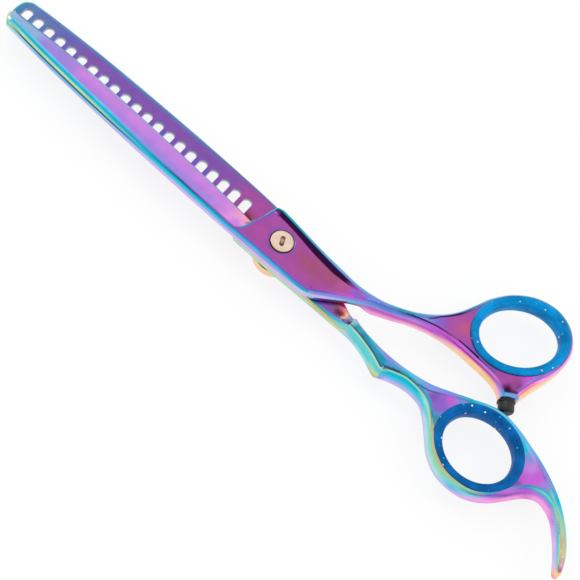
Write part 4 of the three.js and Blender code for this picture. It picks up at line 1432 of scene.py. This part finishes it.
def washer_plastic():
    material, tree, shader = new_material("white acetal")
    tone = add(tree, "ShaderNodeMix", data_type="RGBA")
    tone.inputs["A"].default_value = opaque((226, 224, 214))
    tone.inputs["B"].default_value = opaque((240, 239, 233))
    tree.links.new(noise(tree, 800, 3), tone.inputs["Factor"])
    tree.links.new(tone.outputs["Result"], shader.inputs["Base Color"])
    tree.links.new(remap(tree, noise(tree, 1600, 3), 0.3, 0.7, 0.4, 0.6), shader.inputs["Roughness"])
    bump(tree, shader, noise(tree, 2600, 2), 0.1, 0.0001)
    return material


def finish_hidden_pieces():
    """Materials for the small CAD pieces inside the pivot and the bumper."""
    looks = {
        "pivot_bush": turned_metal("bush brass", BRASS, 0.28),
        "ride_washer": washer_plastic(),
        "thrust_washer": washer_plastic(),
        "spring_washer": turned_metal("spring steel", PLAIN_STEEL, 0.25),
        "bumper_stud": turned_metal("stud steel", PLAIN_STEEL, 0.3),
    }
    for node, material in looks.items():
        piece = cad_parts[node]
        piece.data.materials.clear()
        piece.data.materials.append(material)


# ---------------------------------------------------------------- studio
CAMERA_FOCAL = 140.0
CAMERA_SPOT = (75.353, -353.499, 614.068)
CAMERA_RIGHT = (0.77261, 0.58358, 0.25)
CAMERA_UP = (-0.62830, 0.64632, 0.43301)
CAMERA_BACK = (0.09112, -0.49163, 0.86603)


def camera():
    data = bpy.data.cameras.new("camera")
    data.lens = CAMERA_FOCAL
    data.sensor_width = 36.0
    data.clip_start = 0.01
    body = bpy.data.objects.new("camera", data)
    bpy.context.scene.collection.objects.link(body)
    turn = Matrix((CAMERA_RIGHT, CAMERA_UP, CAMERA_BACK)).transposed().to_4x4()
    body.matrix_world = Matrix.Translation(Vector(CAMERA_SPOT) * MM) @ turn
    bpy.context.scene.camera = body


def floor():
    mesh = bpy.data.meshes.new("floor")
    half = 3.0
    level = -0.0002
    corners = [(-half, -half, level), (half, -half, level), (half, half, level), (-half, half, level)]
    mesh.from_pydata(corners, [], [(0, 1, 2, 3)])
    piece = bpy.data.objects.new("floor", mesh)
    bpy.context.scene.collection.objects.link(piece)
    material, tree, shader = new_material("pale floor")
    shader.inputs["Base Color"].default_value = (0.16, 0.16, 0.16, 1)
    shader.inputs["Roughness"].default_value = 0.9
    shader.inputs["Specular IOR Level"].default_value = 0.0
    shader.inputs["Emission Color"].default_value = (1, 1, 1, 1)
    shader.inputs["Emission Strength"].default_value = 0.83
    mesh.materials.append(material)


def area_light(name, spot, target, size, power):
    data = bpy.data.lights.new(name, "AREA")
    data.shape = "DISK"
    data.size = size
    data.energy = power
    body = bpy.data.objects.new(name, data)
    body.location = spot
    aim = Vector(target) - Vector(spot)
    body.rotation_euler = aim.to_track_quat("-Z", "Y").to_euler()
    bpy.context.scene.collection.objects.link(body)


def studio():
    world = bpy.data.worlds.new("studio")
    world.use_nodes = True
    background = world.node_tree.nodes["Background"]
    background.inputs["Color"].default_value = (1, 1, 1, 1)
    background.inputs["Strength"].default_value = 0.97
    bpy.context.scene.world = world
    bpy.context.scene.view_settings.view_transform = "Standard"
    area_light("key", (-0.9, 0.3, 1.2), (0, 0, 0), 0.5, 2.2)
    area_light("fill", (0.9, 0.5, 1.0), (0, 0, 0), 0.6, 1.6)


studio()
camera()
floor()
finger_half()
thumb_half()
insert("thumb_insert_liner", THUMB_RING, "thumb_insert", THUMB_BLUE)
insert("finger_insert_liner", FINGER_RING, "finger_insert", FINGER_BLUE)
bumper()
tension_nut()
pivot_screw()
finish_hidden_pieces()
